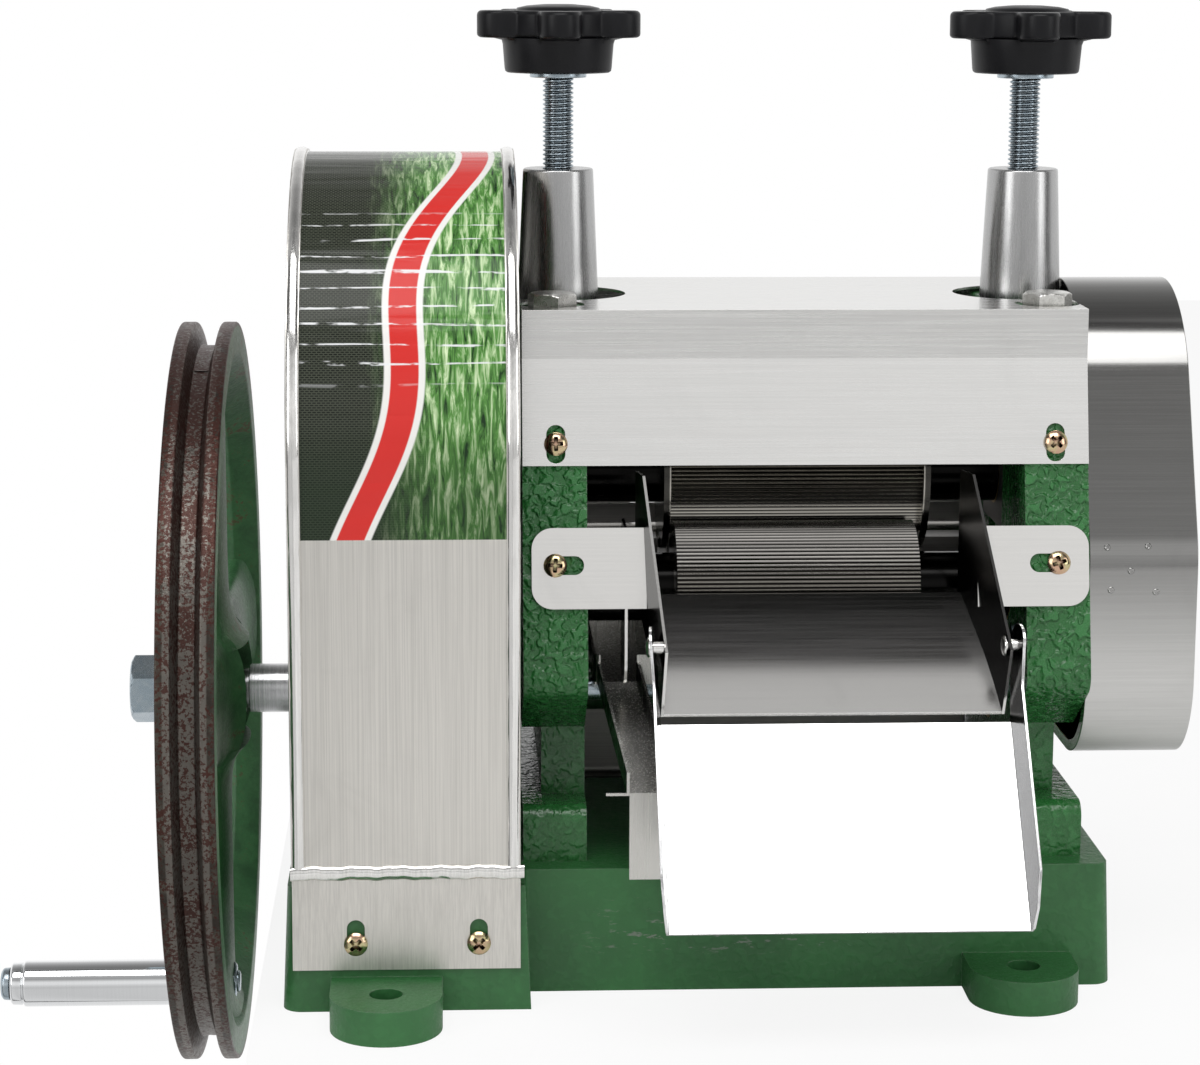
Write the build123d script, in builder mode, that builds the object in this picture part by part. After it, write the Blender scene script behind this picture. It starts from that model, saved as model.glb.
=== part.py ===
"""Hand cranked roller mill for sugarcane: cast base and side frames, three fluted rollers,
a geared drive with a flywheel and crank, sheet covers, a juice tray and a folding chute.

Frame: X runs along the rollers (right), Y away from the discharge side, Z up.
The origin lies on the underside of the base, midway between the two pressing screws.
All sizes are in millimetres.
"""

import os
from math import acos, atan2, cos, degrees, pi, radians, sin, sqrt, tan

from build123d import *

# ---------------------------------------------------------------- driving dimensions

# Fits and clearances
running_fit = 0.06  # radial, shaft in bush
slide_fit = 0.25  # bearing block in its slot, each side
seat_gap = 0.3  # between sheet parts and what they clear
drill_clearance = 0.25  # radial, screw in its hole

# Base casting
base_height = 54.0
base_wall = 8.0
base_top_wall = 10.0
base_right_end = 134.0
base_right_half_depth = 100.0
base_step_x = -119.0
base_rib_x = -120.5  # right face of the rib between the two hollows
base_left_end = -224.0
base_left_half_depth = 123.2
base_draft = 2.5  # degrees
base_corner_radius = 8.0
lug_thickness = 15.0
lug_radius = 23.5
lug_hole_radius = 7.0
left_lug_x = -180.0
left_lug_spacing = 290.0  # hole to hole along Y
right_lug_x = 92.0
right_lug_spacing = 235.0

# Side frames
frame_inner_x = 94.0
frame_thickness = 27.5
frame_top = 275.0
frame_shoulder_z = 270.6
frame_shoulder_y = 66.6
chin_y = 98.0
chin_z = 132.0
chin_radius = 9.0
waist_half_depth = 62.0
waist_top = 108.0
waist_thickness = 19.0
foot_top = 78.0
foot_half_depth = 86.0
foot_corner_radius = 7.0
frame_bolt_radius = 5.0
frame_bolt_y = 74.0
frame_bolt_head_radius = 8.5
frame_bolt_head_height = 6.4
frame_bolt_reach = 16.0  # into the foot

# Rollers
roller_radius = 29.0
roller_centre_distance = 60.0  # top roller to either lower roller
lower_roller_z = 165.4
lower_roller_y = 38.0
lower_roller_left = -54.0
lower_roller_right = 52.0
top_roller_left = -55.0
top_roller_right = 57.0
top_flange_radius = 36.0
top_flange_thickness = 3.0
flute_count = 96
flute_depth = 0.9
journal_radius = 12.5
roller_shaft_radius = 15.0
roller_bush_radius = 16.0

# Gears
roller_gear_module = 3.0
roller_gear_teeth = 20
roller_gear_left = 128.0
roller_gear_face = 20.0
roller_gear_backlash = 1.5  # wide, because the top roller is set up and down
gear_module = 2.5
pinion_teeth = 14
driven_teeth = 66
gear_backlash = 0.3
gear_right = -140.0
gear_face = 25.0
gear_bore_radius = 10.0
roller_shaft_stub = 4.0  # past the spur gears
driven_shaft_stub = 5.0  # past the driven gear
gear_hub_radius = 20.0
pinion_hub_radius = 14.0
spacer_radius = 16.0
pressure_angle = 20.0

# Input shaft and flywheel
shaft_radius = 11.0
shaft_end_radius = 9.0
shaft_step_x = -243.3
shaft_right_end = 129.0
shaft_bush_radius = 16.0
collar_radius = 14.4
collar_width = 6.0
wheel_radius = 166.0
rim_left = -271.5
rim_right = -247.5
rim_depth = 16.0
rim_inner_radius = wheel_radius - rim_depth
rim_crown = 3.0
groove_top_width = 12.0
groove_bottom_width = 7.0
groove_depth = 10.5
hub_radius = 29.0
hub_left = -281.5
hub_right = -251.5
arm_half_width = 32.0
arm_half_thickness = 6.5
wheel_nut_flats = 27.0
wheel_nut_height = 15.0
key_width = 6.0
key_height = 6.0
key_shaft_depth = 3.5
key_end_gap = 2.0
shaft_nut_recess = 0.5  # shaft's end inside its nut

# Crank handle
crank_inset = 27.0  # crank pin's axis in from the wheel's rim
crank_radius = wheel_radius - crank_inset
crank_boss_radius = 12.0
crank_boss_right = -256.0
crank_bolt_radius = 5.0
crank_bolt_end = -251.0
sleeve_radius = 10.5
sleeve_right = -274.0
sleeve_left = -355.0
sleeve_bore_clearance = 0.5
crank_head_radius = 7.5
crank_head_height = 4.5
crank_collar_width = 2.2

# Bearing blocks, caps, posts and pressing screws
block_half_width = 24.0
block_bottom_drop = 24.0  # roller axis to the bottom of the block
block_top_rise = 33.0
block_bush_radius = 16.0
block_chamfer = 2.0
cap_inner_x = 86.0
cap_half_depth = 62.0
cap_thickness = 14.0
cap_bolt_y = 45.0
cap_bolt_radius = 6.0
cap_bolt_flats = 19.0
cap_bolt_head_height = 7.5
cap_bolt_reach = 30.0
post_x = 103.7
post_base_radius = 18.0
post_top_radius = 15.5
post_top = 347.0
post_spigot_radius = 13.0
post_spigot_depth = 8.0
screw_radius = 6.8
knob_stand = 42.0
knob_bottom = post_top + knob_stand
knob_hub_radius = 24.5
knob_hub_height = 16.0
knob_hub_top = knob_bottom + knob_hub_height
knob_arm_count = 5
knob_arm_reach = 37.1
knob_arm_radius = 9.0
knob_arm_thickness = 11.7
knob_arm_bottom = knob_hub_top - 0.7
knob_arm_top = knob_arm_bottom + knob_arm_thickness
knob_dome_radius = 19.0
knob_dome_rise = 2.5
knob_bore_depth = 18.0
knob_hub_draft = 1.0
knob_star_bore = 9.8  # where the star plate starts round the screw
knob_collar_radius = 12.5
knob_collar_height = 2.0

# Sheet metal
sheet = 1.2
cover_half_length = 121.5
cover_top = 291.5
cover_hem_z = 226.0
cover_post_hole_radius = 30.0
cover_bolt_hole_radius = 14.0
screw_shank_radius = 2.5
screw_head_radius = 5.0
screw_head_height = 3.2
screw_reach = 10.0
cover_screw_x = 107.2
cover_screw_z = 234.8
cover_slot_width = 8.0
cover_slot_height = 16.4

# Gear covers
left_cover_outer_x = -219.5
left_cover_inner_x = -123.5
left_cover_radius = 121.5
left_cover_axis_z = 232.5
left_cover_lip = 8.0
left_cover_seam_width = 5.5
left_cover_seam_rise = 1.3
left_cover_flange_thickness = 1.2
left_cover_slot_width = 7.6
left_cover_slot_height = 15.0
left_cover_slot_z = 32.5
left_cover_flange_bottom = 18.4
left_cover_crimp_z = 60.0
left_cover_shaft_hole_radius = 12.5
left_cover_screw_xs = (-192.9, -141.1)
left_cover_screw_z = 29.8
right_cover_inner_x = 121.8
right_cover_outer_x = 169.0
right_cover_top_radius = 60.0
right_cover_top = 298.0
right_cover_corner_radius = 40.0
right_cover_half_depth = 85.0
right_cover_shoulder_z = 180.0
right_cover_bottom = 92.0
right_cover_lip = 5.0
right_cover_tab_radius = 9.0
right_cover_screw_y = 72.0
right_cover_screw_z = 150.0

# Chute
chute_ear_bottom = 166.3
chute_ear_top = 200.0
chute_left_ear_end = -117.8
chute_right_ear_end = 121.0
chute_screw_x = 107.8
chute_screw_z = 184.4
chute_slot_length = 17.0
chute_slot_width = 8.0
chute_slot_x = 104.0
chute_ear_end_mean = 119.0
chute_rear_y = -80.0
chute_front_y = -120.0
chute_left_rear_x = -69.4
chute_left_front_x = -63.0
chute_right_rear_x = 70.8
chute_right_front_x = 80.0
chute_hinge_y = -120.0
chute_hinge_z = 156.0
chute_side_top = 222.0
chute_side_rear_y = -67.0
chute_side_crest_y = -80.5
chute_side_front_y = -125.5
ear_corner_radius = 9.0
tongue_corner_radius = 14.0
cut_margin = 20.0  # how far a cutting shape runs past what it cuts
rivet_radius = 2.5
rivet_head_radius = 4.5
rivet_head_height = 1.6
tongue_x = -77.0
tongue_bottom = 131.0
tongue_rear_y = -60.0
rivet_play = 0.2
flap_slope = 51.3  # degrees below the level at rest
flap_floor_drop = 15.0  # hinge axis to the floor, square to the floor
flap_floor_start = 28.4  # hinge axis to the rear edge, along the floor
flap_length = 93.0
flap_wall_height = 16.0
flap_ear_radius = 9.0
flap_tip_height = 2.0
flap_bend_height = 9.0
flap_bend_run = 6.0  # back from the lower edge
flap_shoulder_run = 20.0
flap_left_x = -64.9
flap_right_x = 81.8
flap_flare = 2.6  # how far each wall leans out at the height of the hinge

# Rear feed guide
feed_half_length = 66.0
feed_floor_z = 186.0
feed_reach = 62.0
feed_rise = 16.0
feed_rear_start = 69.0
feed_lip_rise = 8.0
feed_hem_gap = 4.0  # below the top cover's hem

# Juice tray
tray_half_length = 90.0
tray_half_depth = 58.0
tray_floor_z = 127.0
tray_rim_z = 139.0
tray_rod_radius = 5.0
tray_rod_y = 44.0
tray_rod_seat = 8.0
spout_width = 16.0
spout_tab_length = 10.0
spout_rear_x = -87.0
spout_front_x = -77.0
spout_lip_y = -111.0
spout_lip_z = 91.0
spout_wall_height = 9.0
drip_width = 16.0
drip_bottom = 53.0

# Plate between the lower rollers, under the top one
trash_plate_bottom = 150.0
trash_plate_half_width = 8.0
trash_plate_gap = 2.4  # to the top roller
trash_plate_seat = 5.0  # into each frame
trash_plate_drop = 4.0  # top of the plate below the block slots
trash_plate_side_gap = 0.8  # to the lower rollers
trash_plate_flange_play = 1.0  # beside the top roller's flanges

# ---------------------------------------------------------------- derived dimensions

frame_outer_x = frame_inner_x + frame_thickness
top_roller_z = lower_roller_z + sqrt(roller_centre_distance**2 - lower_roller_y**2)
gear_centre_distance = gear_module * (pinion_teeth + driven_teeth) / 2
shaft_z = top_roller_z - gear_centre_distance
gear_left = gear_right - gear_face
roller_gear_right = roller_gear_left + roller_gear_face
rim_mid = (rim_left + rim_right) / 2
cap_top = frame_top + cap_thickness
block_bottom = top_roller_z - block_bottom_drop
block_top = top_roller_z + block_top_rise
slot_half_width = block_half_width + slide_fit
slot_bottom = block_bottom
crank_z = shaft_z - crank_radius
front_slope = (chin_y - frame_shoulder_y) / (frame_shoulder_z - chin_z)


def frame_face_y(z):
    """Depth of the slanted front face of the side frames at height z, as a positive number."""
    return frame_shoulder_y + (frame_shoulder_z - z) * front_slope


front_tilt = degrees(atan2(front_slope, 1.0))


def yz_plane(x):
    """Sketch plane square to the rollers at x: sketch x runs along Y, sketch y along Z."""
    return Plane(origin=(x, 0, 0), x_dir=(0, 1, 0), z_dir=(1, 0, 0))


def front_plane(x, z, side=-1):
    """Plane on the slanted front (side -1) or rear (side 1) face of the frames, facing out."""
    normal = (0, side * cos(radians(front_tilt)), sin(radians(front_tilt)))
    return Plane(origin=(x, side * frame_face_y(z), z), x_dir=(-side, 0, 0), z_dir=normal)


def base_face_plane(x, z, side):
    """Plane on the drafted front or rear face of the base's left part, facing out."""
    depth = base_left_half_depth - z * tan(radians(base_draft))
    normal = (0, side * cos(radians(base_draft)), sin(radians(base_draft)))
    return Plane(origin=(x, side * depth, z), x_dir=(-side, 0, 0), z_dir=normal)


def gear_outline(teeth, module, backlash, phase):
    """Points of an involute gear outline with a tooth centred on the phase angle, in degrees."""
    pitch_radius = module * teeth / 2
    base_radius = pitch_radius * cos(radians(pressure_angle))
    tip_radius = pitch_radius + module
    root_radius = pitch_radius - 1.25 * module

    def involute(radius):
        roll = acos(min(1.0, base_radius / radius))
        return tan(roll) - roll

    half_pitch_angle = (pi * module / 2 - backlash / 2) / 2 / pitch_radius
    flank = []
    flank_radii = (max(base_radius, root_radius), pitch_radius - module / 3, pitch_radius + module / 3, tip_radius)
    for radius in flank_radii:
        flank.append((radius, half_pitch_angle + involute(pitch_radius) - involute(radius)))
    flank.insert(0, (root_radius, min(flank[0][1] + 0.1 / root_radius, pi / teeth * 0.8)))
    points = []
    for tooth in range(teeth):
        centre = radians(phase) + 2 * pi * tooth / teeth
        side = [(radius, centre - angle) for radius, angle in flank]
        side += [(radius, centre + angle) for radius, angle in reversed(flank)]
        points += [(radius * cos(angle), radius * sin(angle)) for radius, angle in side]
    return points


def mating_phase(phase, teeth, mate_teeth, line_angle):
    """Tooth phase of a gear that meshes with one of the given phase, in degrees.

    line_angle points from the first gear's axis to the mate's axis.
    """
    offset = phase - line_angle
    mate_offset = -(teeth * offset - 180.0) / mate_teeth
    return line_angle + 180.0 + mate_offset


def placed(points, y, z):
    """The points of an outline moved to an axis at y, z."""
    return [(y + u, z + v) for u, v in points]


def flute_outline(radius, depth, count, y, z):
    """Zigzag outline of a fluted roller about the axis at y, z."""
    points = []
    for flute in range(count):
        crest = 2 * pi * flute / count
        root = crest + pi / count
        points.append((y + radius * cos(crest), z + radius * sin(crest)))
        points.append((y + (radius - depth) * cos(root), z + (radius - depth) * sin(root)))
    return points


def save(built, name):
    """Label a finished piece and write it to its own file."""
    built.part.label = name
    export_step(built.part, f"parts/{name}.step")


os.makedirs("parts", exist_ok=True)

# ---------------------------------------------------------------- base casting

lug_rows = (
    (left_lug_x, left_lug_spacing / 2),
    (right_lug_x, right_lug_spacing / 2),
)
foot_centre_x = frame_inner_x + frame_thickness / 2
frame_bolt_places = [(sx * foot_centre_x, sy * frame_bolt_y) for sx in (-1, 1) for sy in (-1, 1)]

with BuildPart() as base_casting:
    with BuildSketch():
        with Locations(((base_left_end + base_step_x) / 2, 0)):
            Rectangle(base_step_x - base_left_end, 2 * base_left_half_depth)
        with Locations(((base_step_x + base_right_end) / 2, 0)):
            Rectangle(base_right_end - base_step_x, 2 * base_right_half_depth)
        fillet(vertices().filter_by(lambda v: abs(v.X - base_step_x) > 1), base_corner_radius)
    extrude(amount=base_height, taper=base_draft)
    with BuildSketch():
        for lug_x, lug_y in lug_rows:
            with Locations((lug_x, lug_y), (lug_x, -lug_y)):
                Circle(lug_radius)
            with Locations((lug_x, 0)):
                Rectangle(2 * lug_radius, 2 * lug_y)
    extrude(amount=lug_thickness)
    with BuildSketch():
        with Locations(((base_left_end + base_rib_x) / 2, 0)):
            Rectangle(base_rib_x - base_left_end - 2 * base_wall, 2 * (base_left_half_depth - base_wall))
        with Locations(((base_rib_x + base_right_end - base_wall) / 2, 0)):
            Rectangle(base_right_end - base_wall - base_rib_x, 2 * (base_right_half_depth - base_wall))
        Rectangle(base_wall, 2 * base_left_half_depth, mode=Mode.SUBTRACT)
    extrude(amount=base_height - base_top_wall, taper=base_draft, mode=Mode.SUBTRACT)
    with BuildSketch(Plane.XY.offset(base_height - base_top_wall)):
        with Locations(*frame_bolt_places):
            Circle(frame_bolt_radius + drill_clearance)
    extrude(amount=base_top_wall, mode=Mode.SUBTRACT)
    with BuildSketch():
        for lug_x, lug_y in lug_rows:
            with Locations((lug_x, lug_y), (lug_x, -lug_y)):
                Circle(lug_hole_radius)
    extrude(amount=lug_thickness, mode=Mode.SUBTRACT)
    for side in (-1, 1):
        for x in left_cover_screw_xs:
            with BuildSketch(base_face_plane(x, left_cover_screw_z, side)):
                Circle(screw_shank_radius)
            extrude(amount=-2 * base_wall, mode=Mode.SUBTRACT)
save(base_casting, "base_casting")

# ---------------------------------------------------------------- side frames

roller_axes = ((-lower_roller_y, lower_roller_z), (lower_roller_y, lower_roller_z))
tray_rod_z = tray_floor_z - sheet - tray_rod_radius
right_cover_screw_places = [(y, right_cover_screw_z) for y in (-right_cover_screw_y, right_cover_screw_y)]


def frame_solid(side):
    """One side frame: foot, waist round the input shaft and the slanted body above."""
    body_outline = [
        (-frame_face_y(frame_top), frame_top),
        (-chin_y, chin_z),
        (-waist_half_depth, waist_top),
        (waist_half_depth, waist_top),
        (chin_y, chin_z),
        (frame_face_y(frame_top), frame_top),
    ]
    with BuildPart() as frame:
        with BuildSketch(yz_plane(side * frame_inner_x)):
            with BuildLine():
                Polyline(*body_outline, close=True)
            make_face()
            fillet(vertices().group_by(Axis.Y)[1], chin_radius)
        extrude(amount=side * frame_thickness)
        with BuildSketch(yz_plane(side * frame_inner_x)):
            with Locations((0, (base_height + waist_top) / 2)):
                Rectangle(2 * waist_half_depth, waist_top - base_height)
        extrude(amount=side * waist_thickness)
        with BuildSketch(yz_plane(side * frame_inner_x)):
            with Locations((0, (base_height + foot_top) / 2)):
                Rectangle(2 * foot_half_depth, foot_top - base_height)
            fillet(vertices().group_by(Axis.Y)[-1], foot_corner_radius)
        extrude(amount=side * frame_thickness)
        # slot for the sliding bearing block, open at the top
        with BuildSketch(yz_plane(side * frame_inner_x)):
            with Locations((0, (slot_bottom + frame_top) / 2)):
                Rectangle(2 * slot_half_width, frame_top - slot_bottom)
            for y, z in roller_axes:
                with Locations((y, z)):
                    Circle(roller_bush_radius)
            with Locations((0, shaft_z)):
                Circle(shaft_bush_radius)
        extrude(amount=side * frame_thickness, mode=Mode.SUBTRACT)
        # seats for the tray rods and the trash plate in the inner face
        with BuildSketch(yz_plane(side * frame_inner_x)):
            with Locations((-tray_rod_y, tray_rod_z), (tray_rod_y, tray_rod_z)):
                Circle(tray_rod_radius + drill_clearance)
        extrude(amount=side * (tray_rod_seat + drill_clearance), mode=Mode.SUBTRACT)
        with BuildSketch(yz_plane(side * frame_inner_x)):
            with Locations((0, (trash_plate_bottom + slot_bottom) / 2)):
                Rectangle(2 * (trash_plate_half_width + drill_clearance), slot_bottom - trash_plate_bottom)
        extrude(amount=side * trash_plate_seat, mode=Mode.SUBTRACT)
        # tapped holes
        with BuildSketch(Plane.XY.offset(frame_top)):
            with Locations((side * foot_centre_x, -cap_bolt_y), (side * foot_centre_x, cap_bolt_y)):
                Circle(cap_bolt_radius)
        extrude(amount=-cap_bolt_reach, mode=Mode.SUBTRACT)
        with BuildSketch(Plane.XY.offset(base_height)):
            with Locations((side * foot_centre_x, -frame_bolt_y), (side * foot_centre_x, frame_bolt_y)):
                Circle(frame_bolt_radius)
        extrude(amount=frame_bolt_reach, mode=Mode.SUBTRACT)
        for face in (-1, 1):
            for x, z in ((cover_screw_x, cover_screw_z), (chute_screw_x, chute_screw_z)):
                with BuildSketch(front_plane(side * x, z, face)):
                    Circle(screw_shank_radius)
                extrude(amount=-screw_reach, mode=Mode.SUBTRACT)
        if side > 0:
            with BuildSketch(yz_plane(frame_inner_x)):
                with Locations(*right_cover_screw_places):
                    Circle(screw_shank_radius + drill_clearance)
            extrude(amount=frame_thickness, mode=Mode.SUBTRACT)
    return frame


left_frame = frame_solid(-1)
save(left_frame, "left_frame")
right_frame = frame_solid(1)
save(right_frame, "right_frame")

with BuildPart() as frame_bolts:
    with BuildSketch(Plane.XY.offset(base_height - base_top_wall)):
        with Locations(*frame_bolt_places):
            Circle(frame_bolt_radius)
    extrude(amount=base_top_wall + frame_bolt_reach)
    with BuildSketch(Plane.XY.offset(base_height - base_top_wall)):
        with Locations(*frame_bolt_places):
            RegularPolygon(frame_bolt_head_radius, 6, major_radius=False)
    extrude(amount=-frame_bolt_head_height)
save(frame_bolts, "frame_bolts")

with BuildPart() as tray_rods:
    with BuildSketch(yz_plane(-frame_inner_x - tray_rod_seat)):
        with Locations((-tray_rod_y, tray_rod_z), (tray_rod_y, tray_rod_z)):
            Circle(tray_rod_radius)
    extrude(amount=2 * (frame_inner_x + tray_rod_seat))
save(tray_rods, "tray_rods")

with BuildPart() as roller_bushes:
    for side in (-1, 1):
        for y, z in roller_axes:
            with BuildSketch(yz_plane(side * frame_inner_x)):
                with Locations((y, z)):
                    Circle(roller_bush_radius)
                    Circle(journal_radius + running_fit, mode=Mode.SUBTRACT)
            extrude(amount=side * frame_thickness)
save(roller_bushes, "roller_bushes")

with BuildPart() as shaft_bushes:
    for side in (-1, 1):
        with BuildSketch(yz_plane(side * frame_inner_x)):
            with Locations((0, shaft_z)):
                Circle(shaft_bush_radius)
                Circle(shaft_radius + running_fit, mode=Mode.SUBTRACT)
        extrude(amount=side * frame_thickness)
save(shaft_bushes, "shaft_bushes")

# ---------------------------------------------------------------- caps and cone posts


def cap_solid(side):
    """Bearing cap across the block slot, bored for the screw and seated for the cone post."""
    with BuildPart() as cap:
        with BuildSketch(Plane.XY.offset(frame_top)):
            with Locations((side * (cap_inner_x + frame_outer_x) / 2, 0)):
                RectangleRounded(frame_outer_x - cap_inner_x, 2 * cap_half_depth, 4)
        extrude(amount=cap_thickness)
        with BuildSketch(Plane.XY.offset(frame_top)):
            with Locations((side * post_x, 0)):
                Circle(screw_radius + drill_clearance)
            with Locations((side * foot_centre_x, -cap_bolt_y), (side * foot_centre_x, cap_bolt_y)):
                Circle(cap_bolt_radius + drill_clearance)
        extrude(amount=cap_thickness, mode=Mode.SUBTRACT)
        with BuildSketch(Plane.XY.offset(cap_top)):
            with Locations((side * post_x, 0)):
                Circle(post_spigot_radius)
        extrude(amount=-post_spigot_depth, mode=Mode.SUBTRACT)
        chamfer(cap.faces().sort_by(Axis.Z)[-1].outer_wire().edges(), 1)
    return cap


left_cap = cap_solid(-1)
save(left_cap, "left_cap")
right_cap = cap_solid(1)
save(right_cap, "right_cap")


def post_solid(side):
    """Cone post: a turned taper with a spigot in the cap and the thread for the screw inside."""
    inner = screw_radius + drill_clearance
    with BuildPart() as post:
        with BuildSketch(Plane.XZ):
            with BuildLine():
                Polyline(
                    (side * post_x + inner, cap_top - post_spigot_depth),
                    (side * post_x + post_spigot_radius, cap_top - post_spigot_depth),
                    (side * post_x + post_spigot_radius, cap_top),
                    (side * post_x + post_base_radius, cap_top),
                    (side * post_x + post_top_radius, post_top),
                    (side * post_x + inner, post_top),
                    close=True,
                )
            make_face()
            chamfer(vertices().sort_by_distance((side * post_x + post_top_radius, 0, post_top))[0], 0.8)
        revolve(axis=Axis((side * post_x, 0, 0), (0, 0, 1)))
    return post


left_post = post_solid(-1)
save(left_post, "left_post")
right_post = post_solid(1)
save(right_post, "right_post")

cap_bolt_places = [(sx * foot_centre_x, sy * cap_bolt_y) for sx in (-1, 1) for sy in (-1, 1)]
with BuildPart() as cap_bolts:
    with BuildSketch(Plane.XY.offset(frame_top - cap_bolt_reach)):
        with Locations(*cap_bolt_places):
            Circle(cap_bolt_radius)
    extrude(amount=cap_bolt_reach + cap_thickness)
    with BuildSketch(Plane.XY.offset(cap_top)):
        with Locations(*cap_bolt_places):
            RegularPolygon(cap_bolt_flats / 2, 6, major_radius=False)
    extrude(amount=cap_bolt_head_height)
save(cap_bolts, "cap_bolts")

# ---------------------------------------------------------------- top cover


def folded_sheet_outline(thickness):
    """Outline of the cover's cross section, grown by the given thickness outside the frames."""
    shoulder = frame_shoulder_y + thickness
    crease = frame_shoulder_y + thickness / cos(radians(front_tilt))
    hem = frame_face_y(cover_hem_z) + thickness / cos(radians(front_tilt))
    crown = cover_top - sheet + thickness
    return [
        (-hem, cover_hem_z),
        (-crease, frame_shoulder_z),
        (-shoulder, crown),
        (shoulder, crown),
        (crease, frame_shoulder_z),
        (hem, cover_hem_z),
    ]


with BuildPart() as top_cover:
    with BuildSketch(yz_plane(-cover_half_length)):
        with BuildLine():
            Polyline(*folded_sheet_outline(sheet), close=True)
        make_face()
        with BuildLine():
            Polyline(*folded_sheet_outline(0), close=True)
        make_face(mode=Mode.SUBTRACT)
    extrude(amount=2 * cover_half_length)
    with BuildSketch(Plane.XY.offset(cover_top - 2 * sheet)):
        for side in (-1, 1):
            with Locations((side * post_x, 0)):
                Circle(cover_post_hole_radius)
            with Locations((side * foot_centre_x, cap_bolt_y), (side * foot_centre_x, -cap_bolt_y)):
                Circle(cover_bolt_hole_radius)
    extrude(amount=3 * sheet, mode=Mode.SUBTRACT)
    for side in (-1, 1):
        for x in (-cover_screw_x, cover_screw_x):
            with BuildSketch(front_plane(x, cover_screw_z, side)):
                SlotOverall(cover_slot_height, cover_slot_width, rotation=90)
            extrude(amount=3 * sheet, both=True, mode=Mode.SUBTRACT)
save(top_cover, "top_cover")


def sheet_screws(places):
    """Pan head screws through a sheet on the frames' slanted faces: (x, z, side) each."""
    with BuildPart() as screws:
        for x, z, side in places:
            with BuildSketch(front_plane(x, z, side)):
                Circle(screw_shank_radius)
            extrude(amount=sheet)
            with BuildSketch(front_plane(x, z, side)):
                Circle(screw_shank_radius)
            extrude(amount=-screw_reach)
            with BuildSketch(front_plane(x, z, side).offset(sheet)):
                Circle(screw_head_radius)
            extrude(amount=screw_head_height, taper=12)
    return screws


cover_screw_places = [(x, cover_screw_z, side) for x in (-cover_screw_x, cover_screw_x) for side in (-1, 1)]
cover_screws = sheet_screws(cover_screw_places)
save(cover_screws, "cover_screws")

# ---------------------------------------------------------------- rollers

lower_gear_angle = degrees(atan2(lower_roller_z - top_roller_z, lower_roller_y))
top_gear_phase = -90.0
roller_shaft_right = roller_gear_right + roller_shaft_stub


def lower_roller_solid(y):
    """A lower roller with its shaft: flutes, shoulders, journals and the seat of its gear."""
    z = lower_roller_z
    with BuildPart() as roller:
        with BuildSketch(yz_plane(lower_roller_left)):
            with BuildLine():
                Polyline(*flute_outline(roller_radius, flute_depth, flute_count, y, z), close=True)
            make_face()
        extrude(amount=lower_roller_right - lower_roller_left)
        with BuildSketch(yz_plane(-frame_inner_x + seat_gap)):
            with Locations((y, z)):
                Circle(roller_shaft_radius)
        extrude(amount=2 * (frame_inner_x - seat_gap))
        with BuildSketch(yz_plane(-frame_outer_x)):
            with Locations((y, z)):
                Circle(journal_radius)
        extrude(amount=2 * frame_outer_x + seat_gap)
        with BuildSketch(yz_plane(frame_outer_x + seat_gap)):
            with Locations((y, z)):
                Circle(gear_bore_radius)
        extrude(amount=roller_shaft_right - frame_outer_x - seat_gap)
    return roller


front_roller = lower_roller_solid(-lower_roller_y)
save(front_roller, "front_roller")
rear_roller = lower_roller_solid(lower_roller_y)
save(rear_roller, "rear_roller")

top_roller_ends = ((top_roller_left, -1), (top_roller_right, 1))
with BuildPart() as top_roller:
    with BuildSketch(yz_plane(top_roller_left)):
        with BuildLine():
            Polyline(*flute_outline(roller_radius, flute_depth, flute_count, 0, top_roller_z), close=True)
        make_face()
    extrude(amount=top_roller_right - top_roller_left)
    for start, way in top_roller_ends:
        with BuildSketch(yz_plane(start)):
            with Locations((0, top_roller_z)):
                Circle(top_flange_radius)
        extrude(amount=way * top_flange_thickness)
    for start, end, radius in (
        (-frame_inner_x + seat_gap, frame_inner_x - seat_gap, roller_shaft_radius),
        (-frame_outer_x - seat_gap, frame_outer_x + seat_gap, journal_radius),
        (gear_left - driven_shaft_stub, roller_shaft_right, gear_bore_radius),
    ):
        with BuildSketch(yz_plane(start)):
            with Locations((0, top_roller_z)):
                Circle(radius)
        extrude(amount=end - start)
save(top_roller, "top_roller")


def gear_solid(y, z, start, face, teeth, module, backlash, phase, hub_start, hub_end, hub, bore):
    """Spur gear with a bored hub that runs from hub_start to hub_end."""
    with BuildPart() as gear:
        with BuildSketch(yz_plane(start)):
            with BuildLine():
                Polyline(*placed(gear_outline(teeth, module, backlash, phase), y, z), close=True)
            make_face()
            with Locations((y, z)):
                Circle(bore, mode=Mode.SUBTRACT)
        extrude(amount=face)
        with BuildSketch(yz_plane(hub_start)):
            with Locations((y, z)):
                Circle(hub)
                Circle(bore, mode=Mode.SUBTRACT)
        extrude(amount=hub_end - hub_start)
    return gear


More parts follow.
